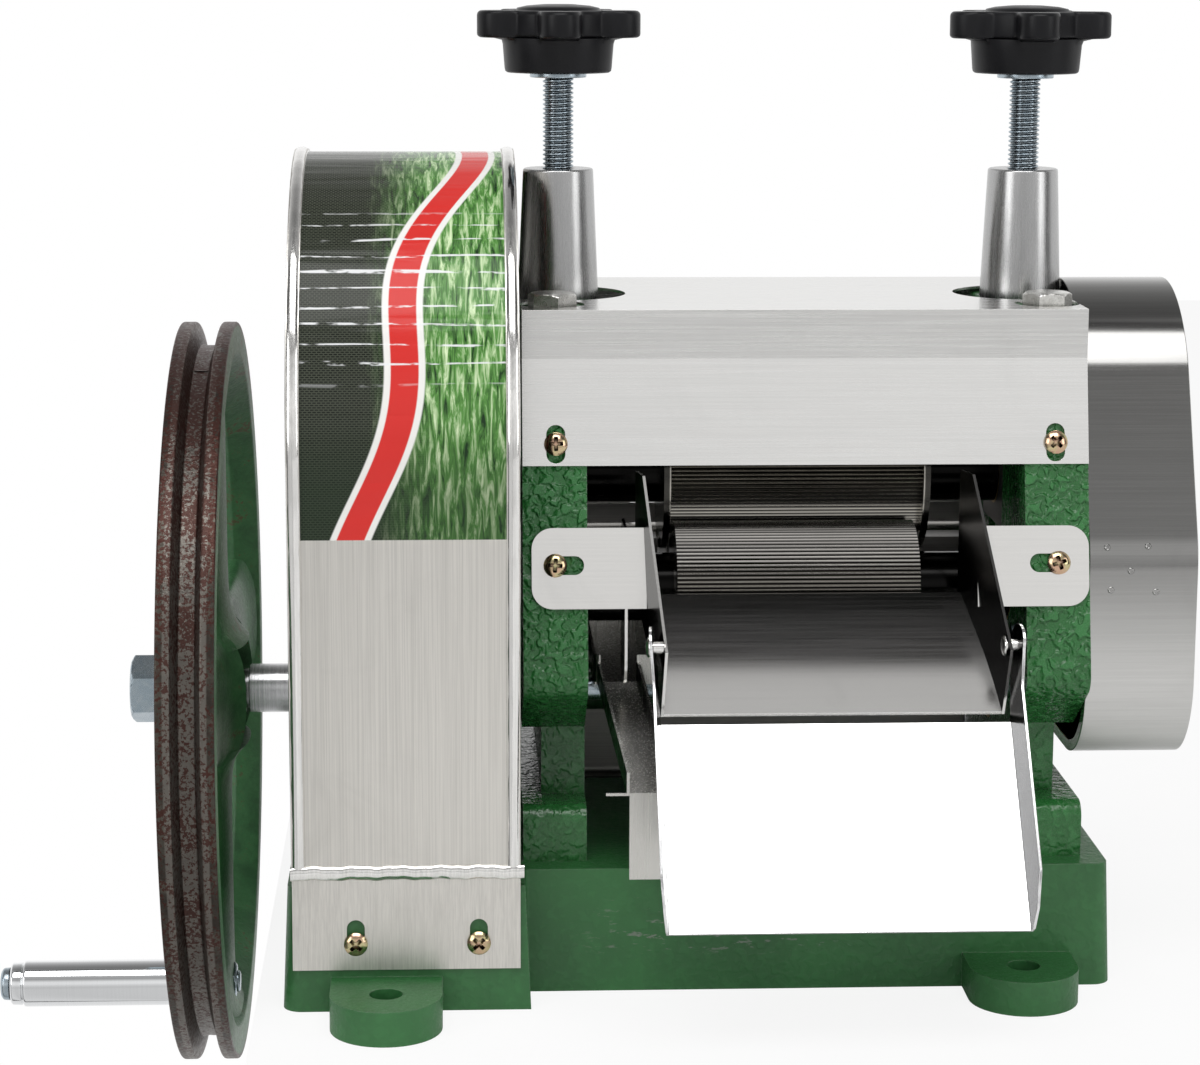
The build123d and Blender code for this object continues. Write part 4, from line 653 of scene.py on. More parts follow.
# painted shade past the roller's span in X and in its flute roots
ROLLER_STEEL = SheetSteel("roller_fluted_steel", (0.52, 0.50, 0.47), Grain.ALONG_X, 0.16, 0.000003, 0.1, 0.4,
                          span=(-0.0543, 0.0523), flutes=(-0.038, 0.1654, 0.0282, 0.02895))
# painted shade: a darker copy of the roller steel for the rear roller
REAR_ROLLER_SHADED_STEEL = SheetSteel("rear_roller_shaded_steel", (0.40, 0.385, 0.36), Grain.ALONG_X, 0.2, 0.000003, 0.1, 0.4)
# painted shade: a darker copy of the roller steel, darker still past its span and in its flute roots
TOP_ROLLER_SHADED_STEEL = SheetSteel("top_roller_shaded_steel", (0.42, 0.40, 0.36), Grain.ALONG_X, 0.18, 0.000003, 0.1, 0.5,
                              span=(-0.0553, 0.0573), flutes=(0.0, 0.21183, 0.0282, 0.02895))
GEAR_IRON = SheetSteel("gear_iron", (0.26, 0.25, 0.24), Grain.ALONG_X, 0.42, 0.00004, 0.15, 0.4)
BUSH_BRONZE = SheetSteel("bush_bronze", (0.58, 0.40, 0.18), Grain.ROUND_X, 0.34, stain=0.3)
CHROME = SheetSteel("handle_chrome", (0.84, 0.85, 0.86), Grain.ROUND_X, 0.07, 0.000004, 0.02)
BLUE_ZINC = Plating("bright_zinc_plating", (0.43, 0.49, 0.53), (0.36, 0.43, 0.48), 0.24)
WORN_ZINC = Plating("worn_zinc_plating", (0.80, 0.79, 0.76), (0.62, 0.61, 0.58), 0.3)
YELLOW_ZINC = Plating("yellow_zinc_plating", (0.60, 0.54, 0.30), (0.62, 0.40, 0.28), 0.16)
KNOB_BLACK = Moulded("knob_black", (0.004, 0.004, 0.005), 0.36)


# ---------------------------------------------------------------- pieces


def make_piece(name: str, skin: Skin, finish: Finish, body: str,
               stands_for: tuple[str, ...] = (), sharp: float = 38.0) -> bpy.types.Object:
    """A finished piece that moves with a body: normals outward, smooth with sharp creases.

    It has a material slot of the record and may stand for nodes, which it replaces. Edges
    steeper than so many degrees stay sharp.
    """
    mesh = bpy.data.meshes.new(name)
    mesh.from_pydata((skin[0] * MM).tolist(), [], skin[1])
    work = bmesh.new()
    work.from_mesh(mesh)
    bmesh.ops.remove_doubles(work, verts=work.verts, dist=1e-6)
    bmesh.ops.recalc_face_normals(work, faces=work.faces)
    work.to_mesh(mesh)
    work.free()
    mesh.polygons.foreach_set("use_smooth", np.ones(len(mesh.polygons), bool))
    mesh.set_sharp_from_angle(angle=math.radians(sharp))
    mesh.materials.append(finish.material())
    piece = bpy.data.objects.new(name, mesh)
    bpy.context.scene.collection.objects.link(piece)
    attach(piece, body)
    if stands_for:
        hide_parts(*stands_for)
    LOG.info("made %s with %d faces", name, len(mesh.polygons))
    return piece


@dataclass
class CastNodes:
    """The model's own solids that stay: each gets its finish and, where it helps, soft edges."""

    nodes: dict[str, bpy.types.Object]
    finishes: tuple[tuple[Finish, str], ...] = (
        (BASE_GREEN, "base_casting"), (FRAME_GREEN, "left_frame right_frame left_cap right_cap"),
        (COVER_STEEL, "top_cover"), (HOUSING_STEEL, "left_gear_cover"), (BAND_STEEL, "right_gear_cover"),
        (CHUTE_STEEL, "chute feed_guide"), (FLAP_STEEL, "chute_flap"), (TRAY_STEEL, "juice_tray"),
        (GEAR_IRON, "trash_plate driven_gear pinion top_spur_gear front_spur_gear rear_spur_gear "
                    "left_block right_block wheel_key"),
        (TOP_ROLLER_SHADED_STEEL, "top_roller"), (ROLLER_STEEL, "front_roller"), (REAR_ROLLER_SHADED_STEEL, "rear_roller"),
        (SHAFT_STEEL, "input_shaft shaft_collar"),
        (BUSH_BRONZE, "roller_bushes shaft_bushes left_block_bush right_block_bush"),
        (BLUE_ZINC, "tray_rods frame_bolts right_cover_screws"),
    )
    edges: dict[str, float] = field(default_factory=lambda: {
        "base_casting": 2.6, "left_frame": 2.2, "right_frame": 2.2, "left_cap": 1.0, "right_cap": 1.0,
        "top_cover": 0.45, "left_gear_cover": 0.4, "right_gear_cover": 0.5, "chute": 0.4,
        "chute_flap": 0.4, "feed_guide": 0.4, "juice_tray": 0.4, "input_shaft": 0.4, "shaft_collar": 0.5,
    })
    folded: tuple[str, ...] = ("top_cover", "chute", "feed_guide", "juice_tray")

    def soften(self, node: bpy.types.Object, width: float, crease: float) -> None:
        """Joins the loose triangles, makes flat faces whole and rounds every crease by a width in mm.

        A crease is an edge that turns by more than the given degrees.

        Normals are then weighted by face area, so that flat faces stay flat between round edges.
        """
        node.modifiers.new("join", "WELD").merge_threshold = 1e-5
        flat = node.modifiers.new("flat", "DECIMATE")
        flat.decimate_type, flat.angle_limit = "DISSOLVE", math.radians(0.4)
        bevel = node.modifiers.new("edges", "BEVEL")
        bevel.width = width * MM
        bevel.segments = 3 if width > 1 else 2
        bevel.limit_method = "ANGLE"
        bevel.angle_limit = math.radians(crease)
        bevel.use_clamp_overlap = True
        even = node.modifiers.new("normals", "WEIGHTED_NORMAL")
        even.mode, even.weight, even.keep_sharp = "FACE_AREA", 60, False

    def dress(self) -> None:
        """Gives every kept node its material and its edges."""
        for finish, name in ((finish, name) for finish, names in self.finishes for name in names.split()):
            node = self.nodes[name]
            node.data.materials.clear()
            node.data.materials.append(finish.material())
            if name in self.edges:
                node.data.polygons.foreach_set("use_smooth", np.ones(len(node.data.polygons), bool))
                self.soften(node, self.edges[name], 8.0 if name in self.folded else 34.0)
            LOG.info("dressed %s", name)


@dataclass
class PressingScrews:
    """Two threaded studs with star knobs, in their cone posts."""

    post_x: float = 103.7
    cap_top: float = 289.0
    post_top: float = 347.0
    base_radius: float = 18.0
    top_radius: float = 15.5
    thread_radius: float = 7.0
    pitch: float = 2.0
    stud_bottom: float = 244.84
    thread_start: float = 336.0
    knob_bottom: float = 389.0
    hub_radius: float = 24.5
    arm_low: float = 404.3
    arm_high: float = 416.0
    arm_reach: float = 37.1
    arm_radius: float = 9.0
    arms: int = 5

    def post(self, side: int) -> None:
        """Turned cone with a rounded top edge and a bored mouth."""
        corners = [(self.cap_top - 4, 12.0), (self.cap_top, 12.0), (self.cap_top, self.base_radius),
                   (self.post_top, self.top_radius), (self.post_top, 7.1), (self.post_top - 10, 7.1),
                   (self.post_top - 10, 0.0)]
        skin = lathed(corners, 1.3, 6, 96, (side * self.post_x, 0, 0), (0, 0, 1))
        name = side_name(side)
        make_piece(f"{name}_cone_post", skin, POST_STEEL, "root", (f"{name}_post",), 30)

    def stud(self, side: int) -> None:
        """Threaded stud: the radius falls and rises with height less the turn's share of the pitch."""
        sides, step = 56, self.pitch / 10
        heights = np.concatenate([[self.stud_bottom, self.thread_start],
                                  np.arange(self.thread_start + step, self.knob_bottom, step),
                                  [self.knob_bottom + 16.0]])
        angle = np.linspace(0.0, 1.0, sides, endpoint=False)
        phase = (heights[:, None] / self.pitch - angle[None, :]) % 1.0
        tooth = np.clip(np.abs(phase - 0.5) * 4.0 - 0.5, 0.0, 1.0)
        threaded = (heights > self.thread_start) & (heights < self.knob_bottom)
        radius = self.thread_radius - 0.2 - np.where(threaded[:, None], 1.05 * tooth, 0.0)
        skin = capped(turned(np.stack([heights, np.ones_like(heights)], -1), sides, radius))
        collar = rounded([(self.knob_bottom - 2.2, 0.0), (self.knob_bottom - 2.2, 12.5),
                          (self.knob_bottom + 0.5, 12.5), (self.knob_bottom + 0.5, 0.0)], 0.5)
        both = merged([skin, capped(turned(collar, 64))])
        name = side_name(side)
        make_piece(f"{name}_threaded_stud", stood(both, (side * self.post_x, 0, 0), (0, 0, 1)), BLUE_ZINC,
                   f"{name}_screw_set", (f"{name}_screw",), 50)

    def star(self, sides: int, phase: float) -> Array:
        """Radius of the star by angle.

        Each arm is a bar with a round end; its reach along a ray is its side over the sine
        of the angle off the arm, or where the ray leaves the end circle. A high power mean of
        hub and arms blends them with fillets.
        """
        angle = np.linspace(0.0, TURN, sides, endpoint=False)[:, None]
        arm = phase + np.arange(self.arms)[None, :] * TURN / self.arms
        off = np.abs((angle - arm + math.pi) % TURN - math.pi)
        centre = self.arm_reach - self.arm_radius
        inside = np.clip(self.arm_radius**2 - (centre * np.sin(off)) ** 2, 0, None)
        round_end = centre * np.cos(off) + np.sqrt(inside)
        bar = self.arm_radius / np.maximum(np.sin(off), 1e-3)
        reach = np.where((centre * np.sin(off) < self.arm_radius) & (off < 1.2), round_end,
                         np.where(off < 1.2, bar, 1.0))
        power = 16.0
        return ((reach**power).sum(1) + self.hub_radius**power) ** (1 / power)

    def knob(self, side: int) -> None:
        """Star knob: hub, undercut star plate with rounded rims, a raised disc and a dome.

        Each row blends the hub's circle into the star outline and adds its own offset.
        """
        star = self.star(240, 0.31 if side < 0 else 0.31 + 0.02)
        rim = 2.1
        low = self.knob_bottom
        rows = [(low, 0.0, -24.4), (low, 0.0, -2.0), (low + 0.6, 0.0, -1.2), (low + 2.0, 0.0, -0.9),
                (self.arm_low - 3.0, 0.0, -0.1), (self.arm_low - 1.2, 0.05, 0.0), (self.arm_low - 0.2, 0.4, 0.0)]
        turn = np.linspace(0.0, math.pi / 2, 6)
        rows += [(self.arm_low + rim * (1 - math.cos(t)) * 0.8, 1.0, -rim * (1 - math.sin(t))) for t in turn]
        rows += [(self.arm_high - rim * (1 - math.sin(t)), 1.0, -rim * (1 - math.cos(t))) for t in turn]
        table = np.array(rows)
        rings_radius = self.hub_radius + (star[None, :] - self.hub_radius) * table[:, 1:2] + table[:, 2:3]
        top = np.array([(self.arm_high, 20.5), (self.arm_high - 0.5, 19.8), (self.arm_high - 0.3, 19.0),
                        (self.arm_high + 1.0, 18.0), (self.arm_high + 1.9, 14.0), (self.arm_high + 2.5, 7.0),
                        (self.arm_high + 2.6, 0.5)])
        heights = np.concatenate([table[:, 0], top[:, 0]])
        radius = np.vstack([rings_radius, np.broadcast_to(top[:, 1:2], (len(top), len(star)))])
        skin = capped(turned(np.stack([heights, np.ones_like(heights)], -1), len(star), radius))
        name = side_name(side)
        make_piece(f"{name}_star_knob", stood(skin, (side * self.post_x, 0, 0), (0, 0, 1)), KNOB_BLACK,
                   f"{name}_screw_set", (f"{name}_knob",), 40)

    def build(self) -> None:
        """Both sides."""
        for side in (-1, 1):
            for make in (self.post, self.stud, self.knob):
                make(side)


@dataclass
class Flywheel:
    """Cast wheel with a belt groove, four arms, hub, crank boss, nut and the handle."""

    axis_z: float
    left: float = -271.5
    right: float = -247.5
    radius: float = 166.0
    rim_inner: float = 150.0
    crown: float = 147.0
    hub_radius: float = 29.0
    hub_left: float = -281.5
    hub_right: float = -251.5
    arm_width: float = 32.0
    arm_thickness: float = 6.5
    crank_radius: float = 139.0
    nut_flats: float = 27.0
    sleeve_left: float = -355.0
    sleeve_right: float = -274.0

    @property
    def middle(self) -> float:
        """X of the rim's middle plane."""
        return (self.left + self.right) / 2

    def rim(self) -> Skin:
        """Rim with its V groove, edges rounded, turned about X."""
        half = self.middle
        corners = [(self.left, 156.0), (self.left, self.radius), (half - 6, self.radius), (half - 3.5, 155.5),
                   (half + 3.5, 155.5), (half + 6, self.radius), (self.right, self.radius), (self.right, 152.0),
                   (half, self.crown), (self.left, 152.0), (self.left, 156.0)]
        profile = rounded(corners, 0.9, 4)[:-1]
        return looped(turned(profile, 256))

    def arm(self, quarter: int) -> Skin:
        """One arm: an oval section whose width and thickness flare by a falling exponential at both ends."""
        along = np.linspace(self.hub_radius - 6, self.rim_inner + 0.5, 44)[:, None]
        angle = np.linspace(0.0, TURN, 40, endpoint=False)[None, :]
        near, far = np.exp(-(along - self.hub_radius) / 7.0), np.exp(-(self.rim_inner - along) / 6.0)
        width = self.arm_width - 5 + 3.5 * near + 13.0 * far
        width = np.minimum(width, self.hub_radius + (along - self.hub_radius + 8) * 1.2)
        thick = self.arm_thickness + 4.0 * near + 3.5 * far
        u = width * np.sign(np.cos(angle)) * np.abs(np.cos(angle)) ** 0.85
        v = self.middle + thick * np.sign(np.sin(angle)) * np.abs(np.sin(angle)) ** 0.8
        turn = quarter * math.pi / 2
        y = along * math.cos(turn) - u * math.sin(turn)
        z = along * math.sin(turn) + u * math.cos(turn)
        return capped(np.stack([y, z, v + 0 * u], axis=-1))

    def casting(self) -> None:
        """The whole casting in one piece."""
        waist = self.hub_radius - 1.5
        hub = rounded([(self.hub_left, 0.0), (self.hub_left, waist), (self.middle, self.hub_radius + 1),
                       (self.hub_right, waist), (self.hub_right, 0.0)], 2.0, 5)
        boss = rounded([(self.left, 0.0), (self.left, 13.5), (self.middle, 13.5),
                        (-256.0, 12.0), (-256.0, 0.0)], 1.5, 5)
        boss_skin = capped(turned(boss, 64))
        boss_skin = (boss_skin[0] + np.array([0.0, -self.crank_radius, 0.0]), boss_skin[1])
        parts = [self.rim(), capped(turned(hub, 128)), boss_skin] + [self.arm(q) for q in range(4)]
        points, faces = merged(parts)
        placed = np.stack([points[:, 2], points[:, 0], points[:, 1] + self.axis_z], axis=-1)
        finish = WheelIron("wheel_cast_iron", self.axis_z * MM, self.middle * MM)
        make_piece("flywheel_casting", (placed, faces), finish, "drive", ("flywheel",), 42)

    def nut(self) -> None:
        """Hexagon nut on the shaft's end, with the shaft's chamfered tip."""
        nut = stood(hex_skin(self.nut_flats, 15.0, True), (self.hub_left, 0, self.axis_z), (-1, 0, 0))
        washer = lathed([(0.0, 0.0), (0.0, 15.5), (1.6, 15.5), (1.6, 0.0)], 0.3, 4, 72,
                        (self.hub_left + 1.0, 0, self.axis_z), (-1, 0, 0))
        make_piece("shaft_end_nut", merged([nut, washer]), BLUE_ZINC, "drive", ("wheel_nut",), 32)

    def handle(self) -> None:
        """Chromed sleeve with a turned end cap, on a bolt with washer, collar and nut."""
        pin = (0, 0, self.axis_z - self.crank_radius)
        a, b, face = self.sleeve_left, self.sleeve_right, self.left
        sleeve = [(a, 0.0), (a, 8.6), (a + 0.9, 9.6), (a + 5.2, 9.7), (a + 5.4, 9.1), (a + 6.0, 9.1),
                  (a + 6.2, 10.3), (a + 7.0, 10.5), (b - 1.2, 10.5), (b, 9.6), (b, 5.6), (b - 3, 5.6), (b - 3, 0.0)]
        bolt = [(b - 8, 0.0), (b - 8, 5.0), (face - 2.2, 5.0), (face - 2.2, 8.4), (face + 0.4, 8.4),
                (face + 0.4, 5.0), (-250.8, 4.9), (-250.0, 4.2), (-250.0, 0.0)]
        tip = [(a - 4.6, 0.0), (a - 4.6, 5.6), (a - 3.4, 7.3), (a - 0.3, 7.5), (a - 0.3, 5.0),
               (a + 4, 5.0), (a + 4, 0.0)]
        parts = [lathed(bolt, 0.3, 3, 48, pin, (1, 0, 0)), lathed(tip, 0.6, 4, 64, pin, (1, 0, 0)),
                 stood(hex_skin(16.0, 4.6, True), (-256.2, 0, pin[2]), (1, 0, 0))]
        make_piece("crank_sleeve", lathed(sleeve, 0.35, 3, 96, pin, (1, 0, 0)), CHROME, "handle",
                   ("handle_sleeve",), 35)
        make_piece("crank_bolt", merged(parts), BLUE_ZINC, "drive", ("handle_bolt",), 35)

    def build(self) -> None:
        """Wheel, nut and handle."""
        for make in (self.casting, self.nut, self.handle):
            make()


@dataclass
class GearHousings:
    """Rolled seams and crimps of the left housing, welds of the right band, and a dark sheet between the frames as
    painted shade.
    """

    outer: float = -219.5
    inner: float = -123.5
    radius: float = 121.5
    axis_z: float = 232.5
    crimp_z: float = 60.0
    seam: float = 5.5
    weld_points: tuple[tuple[float, float], ...] = (
        (129.5, 190.5), (147.2, 190.9), (139.8, 180.4), (131.4, 172.1), (150.9, 171.1))

    def arch_path(self) -> tuple[Array, Array]:
        """Points and outward directions along the arch.

        Up the front from the crimp to the axis height, round the half circle, and down the back.
        """
        low = np.linspace(self.crimp_z, self.axis_z, 40, endpoint=False)
        angle = np.linspace(math.pi, 0.0, 120)
        zero, one = np.zeros_like(low), np.ones_like(low)
        front = np.stack([zero, -self.radius * one, low], -1)
        crown = np.stack([0 * angle, self.radius * np.cos(angle), self.axis_z + self.radius * np.sin(angle)], -1)
        back = np.stack([zero, self.radius * one, low[::-1]], -1)
        out_front = np.stack([zero, -one, zero], -1)
        out_crown = np.stack([0 * angle, np.cos(angle), np.sin(angle)], -1)
        return np.vstack([front, crown, back]), np.vstack([out_front, out_crown, -out_front])

    def seams(self) -> None:
        """A rolled bead over each seam, with a faint waviness from the rolling."""
        path, rise = self.arch_path()
        side = np.broadcast_to(np.array([1.0, 0.0, 0.0]), path.shape)
        beads = []
        for x, lean in ((self.outer + self.seam / 2, -0.1), (self.inner - self.seam / 2, 0.1)):
            run = np.linspace(0, 60, len(path))
            wave = 0.10 * np.sin(run * 3.1) + 0.06 * np.sin(run * 7.7 + lean)
            line = path + rise * wave[:, None] + np.array([x, 0.0, 0.0])
            beads.append(path_skin(line, side, rise, oval(self.seam / 2 + 0.25, 2.0, 24)))
        make_piece("housing_rolled_seams", merged(beads), SEAM_STEEL, "root", (), 60)

    def crimps(self) -> None:
        """A rolled crimp along the foot of the housing, front and back, wider at its ends."""
        run = np.linspace(self.outer - 0.6, self.inner + 1.6, 60)
        middle = (self.outer + self.inner) / 2
        swell = 0.35 * (np.abs(run - middle) / (middle - self.outer)) ** 6
        wave = 0.25 * np.sin(run * 0.35) + 0.18 * np.sin(run * 0.83)
        rolls = []
        for face in (-1, 1):
            line = np.stack([run, face * (self.radius + 0.4 + swell), self.crimp_z + 0.4 + wave], -1)
            side = np.broadcast_to(np.array([0.0, 0.0, 1.0]), line.shape)
            rise = np.broadcast_to(np.array([0.0, float(face), 0.0]), line.shape)
            rolls.append(path_skin(line, side, rise, oval(3.1, 1.9, 24)))
        make_piece("housing_foot_crimps", merged(rolls), SEAM_STEEL, "root", (), 60)

    def welds(self) -> None:
        """Five shallow spot weld dimples on the right band's front."""
        ring = rounded([(-0.6, 1.5), (0.0, 1.5), (0.35, 1.1), (0.12, 0.55), (0.1, 0.0)], 0.2, 3)
        skins = [stood(capped(turned(ring, 28)), (x, self.band_y(z), z), (0, -1, self.band_tilt(z)))
                 for x, z in self.weld_points]
        make_piece("band_spot_welds", merged(skins), BAND_STEEL, "root", (), 50)

    def band_y(self, z: float) -> float:
        """Depth of the band's front face at a height: flat, then the corner's circle."""
        corner = 40.0
        return -85.0 if z <= 180.0 else -(45.0 + math.sqrt(corner**2 - (z - 180.0) ** 2))

    def band_tilt(self, z: float) -> float:
        """How much the face looks up at a height."""
        return 0.0 if z <= 180.0 else (z - 180.0) / math.sqrt(40.0**2 - (z - 180.0) ** 2)

    def painted_shade_sheet(self) -> None:
        """Plain dark sheet between the frames at the rear, from the base up to the feed guide's floor, put there as
        painted shade for the dark gap.

        A profile of depth and height with a fold at its foot, carried along X.
        """
        fold = [(52.0, 54.3), (60.0, 54.3), (60.8, 56.0), (60.8, 150.0), (68.0, 184.0)]
        inner = [(y - 1.0, z + 1.0) for y, z in reversed(fold)]
        profile = rounded(fold + inner, 1.2, 3)
        line = np.array([[-93.4, 0.0, 0.0], [93.4, 0.0, 0.0]])
        side, rise = np.array([[0.0, 1.0, 0.0]] * 2), np.array([[0.0, 0.0, 1.0]] * 2)
        # painted shade: a dark sheet where the gap between the frames shows only shade
        make_piece("rear_painted_shade_sheet", path_skin(line, side, rise, profile), GEAR_IRON, "root", (), 35)

    def build(self) -> None:
        """Every piece of sheet metal that the model's own solids don't have, the dark sheet of painted shade among
        them.
        """
        for make in (self.painted_shade_sheet, self.seams, self.crimps, self.welds):
            make()


@dataclass
class Fasteners:
    """Screws, bolts and rivets of the sheet parts and caps."""

    sheet: float = 1.2
    shoulder_y: float = 66.6
    shoulder_z: float = 270.6
    chin_y: float = 98.0
    chin_z: float = 132.0
    base_half: float = 123.2
    base_draft: float = 2.5
    head_radius: float = 5.0
    head_height: float = 3.2
    rivet_y: float = -120.0
    rivet_z: float = 156.0

    @property
    def slope(self) -> float:
        """How far the frames' faces lean out for each mm down."""
        return (self.chin_y - self.shoulder_y) / (self.shoulder_z - self.chin_z)

    def screw(self, x: float, y: float, z: float, side: int, tilt: float, spin: float) -> Skin:
        """A pan head on the sheet over a face that looks up by a tilt, its recess turned by a spin."""
        out, up = side * math.cos(tilt), math.sin(tilt)
        head = spun(pan_head_skin(self.head_radius, self.head_height, 2.5, 9.0), spin)
        return stood(head, (x, side * y + out * self.sheet, z + up * self.sheet), (0.0, out, up))

    def on_frame(self, x: float, z: float, side: int, spin: float) -> Skin:
        """A screw on the frame's slanted face."""
        y = self.shoulder_y + (self.shoulder_z - z) * self.slope
        return self.screw(x, y, z, side, math.atan(self.slope), spin)

    def on_base(self, x: float, z: float, side: int, spin: float) -> Skin:
        """A screw on the base's drafted face."""
        lean = math.radians(self.base_draft)
        return self.screw(x, self.base_half - z * math.tan(lean), z, side, lean, spin)

    def build(self) -> None:
        """All the small hardware."""
        for name, node, place, columns, z, sides, spin in (
                ("cover_pan_screws", "cover_screws", self.on_frame, (-107.2, 107.2), 234.8, (-1, 1), 0.4),
                ("chute_pan_screws", "chute_screws", self.on_frame, (-107.8, 107.8), 184.4, (-1,), 0.9),
                ("feed_pan_screws", "feed_guide_screws", self.on_frame, (-107.8, 107.8), 184.4, (1,), 0.2),
                ("housing_pan_screws", "gear_cover_screws", self.on_base, (-192.9, -141.1), 29.8, (-1, 1), 0.5)):
            screws = [place(x, z, side, spin + x) for x in columns for side in sides]
            make_piece(name, merged(screws), YELLOW_ZINC, "root", (node,), 40)
        shank = capped(turned(np.array([(-44.0, 6.0), (0.5, 6.0)]), 32))
        washer = capped(turned(rounded([(0.0, 0.0), (0.0, 11.6), (0.9, 11.6), (0.9, 0.0)], 0.2), 48))
        bolts = [stood(part, (x, y, 289.0), (0, 0, 1))
                 for x, y, spin in ((-107.75, -45, 0.2), (-107.75, 45, 0.8), (107.75, -45, 0.55), (107.75, 45, 0.1))
                 for part in (spun(hex_skin(19.0, 7.5), spin), shank, washer)]
        make_piece("cap_hex_bolts", merged(bolts), WORN_ZINC, "root", ("cap_bolts",), 32)

    def rivets(self, box: tuple[Vector, Vector]) -> None:
        """Domed rivets in the space of the model's own, two heads and a shank each."""
        low, high = (np.array(corner) / MM for corner in box)
        dome = np.linspace(0.0, math.pi / 2, 8)
        head = np.stack([1.6 * np.sin(dome), 4.5 * np.cos(dome)], -1)
        skins = []
        for outer, inner, out in ((low[0], -63.6, -1.0), (high[0], 79.6, 1.0)):
            seat = outer - out * 1.6
            shank = np.array([(0.0, 2.5), (abs(seat - inner), 2.5)])
            skins += [stood(capped(turned(profile, sides)), (x, self.rivet_y, self.rivet_z), (way, 0, 0))
                      for profile, sides, x, way in ((head, 36, seat, out), (head, 36, inner, -out),
                                                     (shank, 24, inner, out))]
        make_piece("flap_rivets", merged(skins), SEAM_STEEL, "root", ("chute_rivets",), 40)


# ---------------------------------------------------------------- bench, light and camera


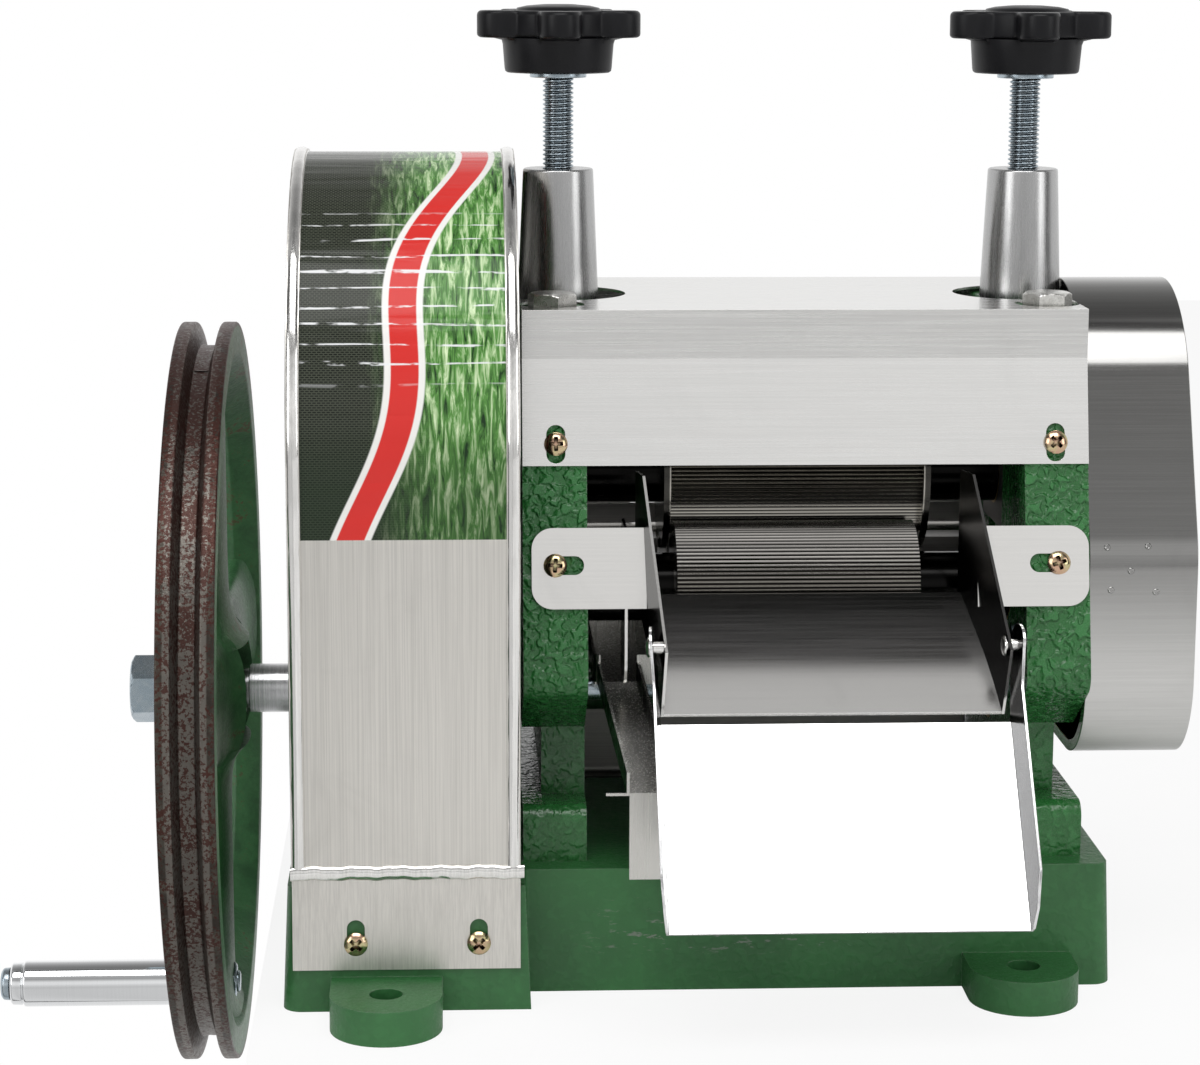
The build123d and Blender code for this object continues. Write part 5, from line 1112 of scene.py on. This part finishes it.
@dataclass
class Studio:
    """Pale bench with the wheel hanging past its edge, soft lamps, and the camera."""

    edge_x: float = -0.236
    eye: Point = (-0.153, -1.4, 0.4425)
    pitch: float = 10.5
    yaw: float = 2.8
    roll: float = 0.2
    focal: float = 3150.0
    frame_width: float = 1200.0

    def bench(self) -> None:
        """A slab whose top is under the base; it shows near white to the camera and keeps the shadow."""
        low, high = np.array([self.edge_x, -2.2, -0.03]), np.array([2.4, 2.6, 0.0])
        ring = ((0, 0), (1, 0), (1, 1), (0, 1))
        pick = np.array([(x, y, z) for z in (0, 1) for x, y in ring])
        mesh = bpy.data.meshes.new("bench")
        mesh.from_pydata((low + (high - low) * pick).tolist(), [], [
            (0, 3, 2, 1), (4, 5, 6, 7), (0, 1, 5, 4), (1, 2, 6, 5), (2, 3, 7, 6), (3, 0, 4, 7)])
        bench = bpy.data.objects.new("bench", mesh)
        bpy.context.scene.collection.objects.link(bench)
        paint = bpy.data.materials.new("bench_white")
        paint.use_nodes = True
        wiring = Wiring(paint.node_tree)
        speck = wiring.noise(wiring.place(), 30.0, 3.0)
        matte = wiring.node("ShaderNodeBsdfDiffuse", {
            "Color": wiring.mix(wiring.fade(speck, 0.3, 0.7), (0.86, 0.86, 0.86), (0.89, 0.89, 0.89))}).outputs[0]
        white = wiring.node("ShaderNodeEmission", {"Color": (1, 1, 1, 1), "Strength": 1.0}).outputs[0]
        path = wiring.node("ShaderNodeLightPath")
        share = wiring.times(path.outputs["Is Camera Ray"], 0.88)
        both = wiring.node("ShaderNodeMixShader", {0: share, 1: matte, 2: white}).outputs[0]
        wiring.node("ShaderNodeOutputMaterial", {"Surface": both})
        mesh.materials.append(paint)
        bench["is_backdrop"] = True

    def world(self) -> None:
        """White to the camera; to the metal, a white backdrop behind and a room in front.

        The room's brightness is a ramp over the sine of the elevation, multiplied by a ramp over
        the azimuth that has soft grey flags at both sides.
        """
        world = bpy.data.worlds.new("studio")
        world.use_nodes = True
        bpy.context.scene.world = world
        wiring = Wiring(world.node_tree)
        way = wiring.node("ShaderNodeSeparateXYZ", {0: wiring.node("ShaderNodeTexCoord").outputs["Generated"]})
        x, y, z = way.outputs[0], way.outputs[1], way.outputs[2]
        rise = wiring.fade(z, -1.0, 1.0)
        rise.node.interpolation_type = "LINEAR"
        front = self.ramp(wiring, rise, (
            (0.0, 0.72), (0.38, 0.72), (0.47, 0.66), (0.55, 0.80), (0.62, 0.98), (0.70, 0.95),
            (0.80, 0.42), (0.88, 0.50), (0.915, 1.0), (0.985, 1.0), (0.994, 0.36), (1.0, 0.30)))
        back = self.ramp(wiring, rise, (
            (0.0, 0.8), (0.48, 1.0), (0.66, 1.0), (0.8, 0.6), (0.97, 0.24), (1.0, 0.18)))
        room = wiring.mix(wiring.fade(y, -0.12, 0.12), front, back)
        turn = wiring.math("ARCTAN2", x, wiring.times(y, -1.0))
        around = wiring.fade(turn, -math.pi, math.pi)
        around.node.interpolation_type = "LINEAR"
        flags = self.ramp(wiring, around, ((0.0, 1.0), (0.235, 1.0), (0.27, 0.22), (0.33, 0.16), (0.355, 0.9),
                                           (0.43, 1.0), (0.475, 0.85), (0.56, 1.0), (0.64, 0.95), (0.665, 0.2),
                                           (0.72, 0.14), (0.765, 1.0), (1.0, 1.0)))
        room = wiring.mix(1.0, room, flags, "MULTIPLY")
        seen = wiring.node("ShaderNodeLightPath").outputs["Is Camera Ray"]
        colour = wiring.mix(seen, room, (1.0, 1.0, 1.0))
        shine = wiring.node("ShaderNodeBackground", {"Color": colour, "Strength": 1.0})
        wiring.node("ShaderNodeOutputWorld", {"Surface": shine.outputs[0]})

    @staticmethod
    def ramp(wiring: Wiring, value: Socket, stops: tuple[tuple[float, float], ...]) -> Socket:
        """Grey ramp through the given stops."""
        made = wiring.node("ShaderNodeValToRGB", {0: value})
        elements = made.color_ramp.elements
        for index, (position, grey) in enumerate(stops):
            stop = elements[index] if index < 2 else elements.new(position)
            stop.position, stop.color = position, (grey, grey, grey, 1.0)
        return made.outputs[0]

    def lamp(self, name: str, place: Point, size: tuple[float, float], power: float) -> None:
        """A soft rectangular lamp that looks at the middle of the mill."""
        data = bpy.data.lights.new(name, "AREA")
        data.shape, data.size, data.size_y, data.energy = "RECTANGLE", size[0], size[1], power
        lamp = bpy.data.objects.new(name, data)
        bpy.context.scene.collection.objects.link(lamp)
        lamp.location = place
        lamp.rotation_euler = (Vector((-0.05, 0.0, 0.18)) - Vector(place)).to_track_quat("-Z", "Y").to_euler()

    def camera(self) -> None:
        """The photograph's own viewpoint and lens."""
        pitch, yaw, roll = (math.radians(a) for a in (self.pitch, self.yaw, self.roll))
        ahead = Vector((math.sin(yaw) * math.cos(pitch), math.cos(yaw) * math.cos(pitch), -math.sin(pitch)))
        right = Vector((math.cos(yaw), -math.sin(yaw), 0.0))
        up = right.cross(ahead)
        aside = math.cos(roll) * right + math.sin(roll) * up
        upward = -math.sin(roll) * right + math.cos(roll) * up
        data = bpy.data.cameras.new("viewpoint")
        data.sensor_width, data.lens = 36.0, 36.0 * self.focal / self.frame_width
        data.clip_start, data.clip_end = 0.05, 20.0
        camera = bpy.data.objects.new("viewpoint", data)
        bpy.context.scene.collection.objects.link(camera)
        turn = Matrix((aside, upward, -ahead)).transposed().to_4x4()
        camera.matrix_world = Matrix.Translation(self.eye) @ turn
        bpy.context.scene.camera = camera

    def build(self) -> None:
        """Bench, world, lamps and camera."""
        self.bench()
        self.world()
        self.lamp("overhead_softbox", (-0.1, -0.75, 1.75), (1.5, 0.9), 15.0)
        self.lamp("left_softbox", (-1.7, -1.3, 0.9), (0.9, 1.3), 9.0)
        self.lamp("right_softbox", (1.8, -1.2, 0.8), (0.8, 1.3), 7.0)
        self.camera()
        bpy.context.scene.view_settings.view_transform = "Standard"


def corners() -> list[list[float]]:
    """The shown object's lowest and highest corner as plain lists."""
    return [list(corner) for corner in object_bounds()]


def main() -> None:
    """Builds the dressed mill in order."""
    logging.basicConfig(level=logging.INFO, format="%(message)s")
    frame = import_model()
    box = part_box("flywheel")
    axis_z = (box[0].z + box[1].z) / 2 / MM
    CastNodes(frame["nodes"]).dress()
    PressingScrews().build()
    Flywheel(axis_z).build()
    GearHousings().build()
    fasteners = Fasteners()
    fasteners.build()
    fasteners.rivets(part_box("chute_rivets"))
    Studio().build()


if __name__ == "__main__":
    main()
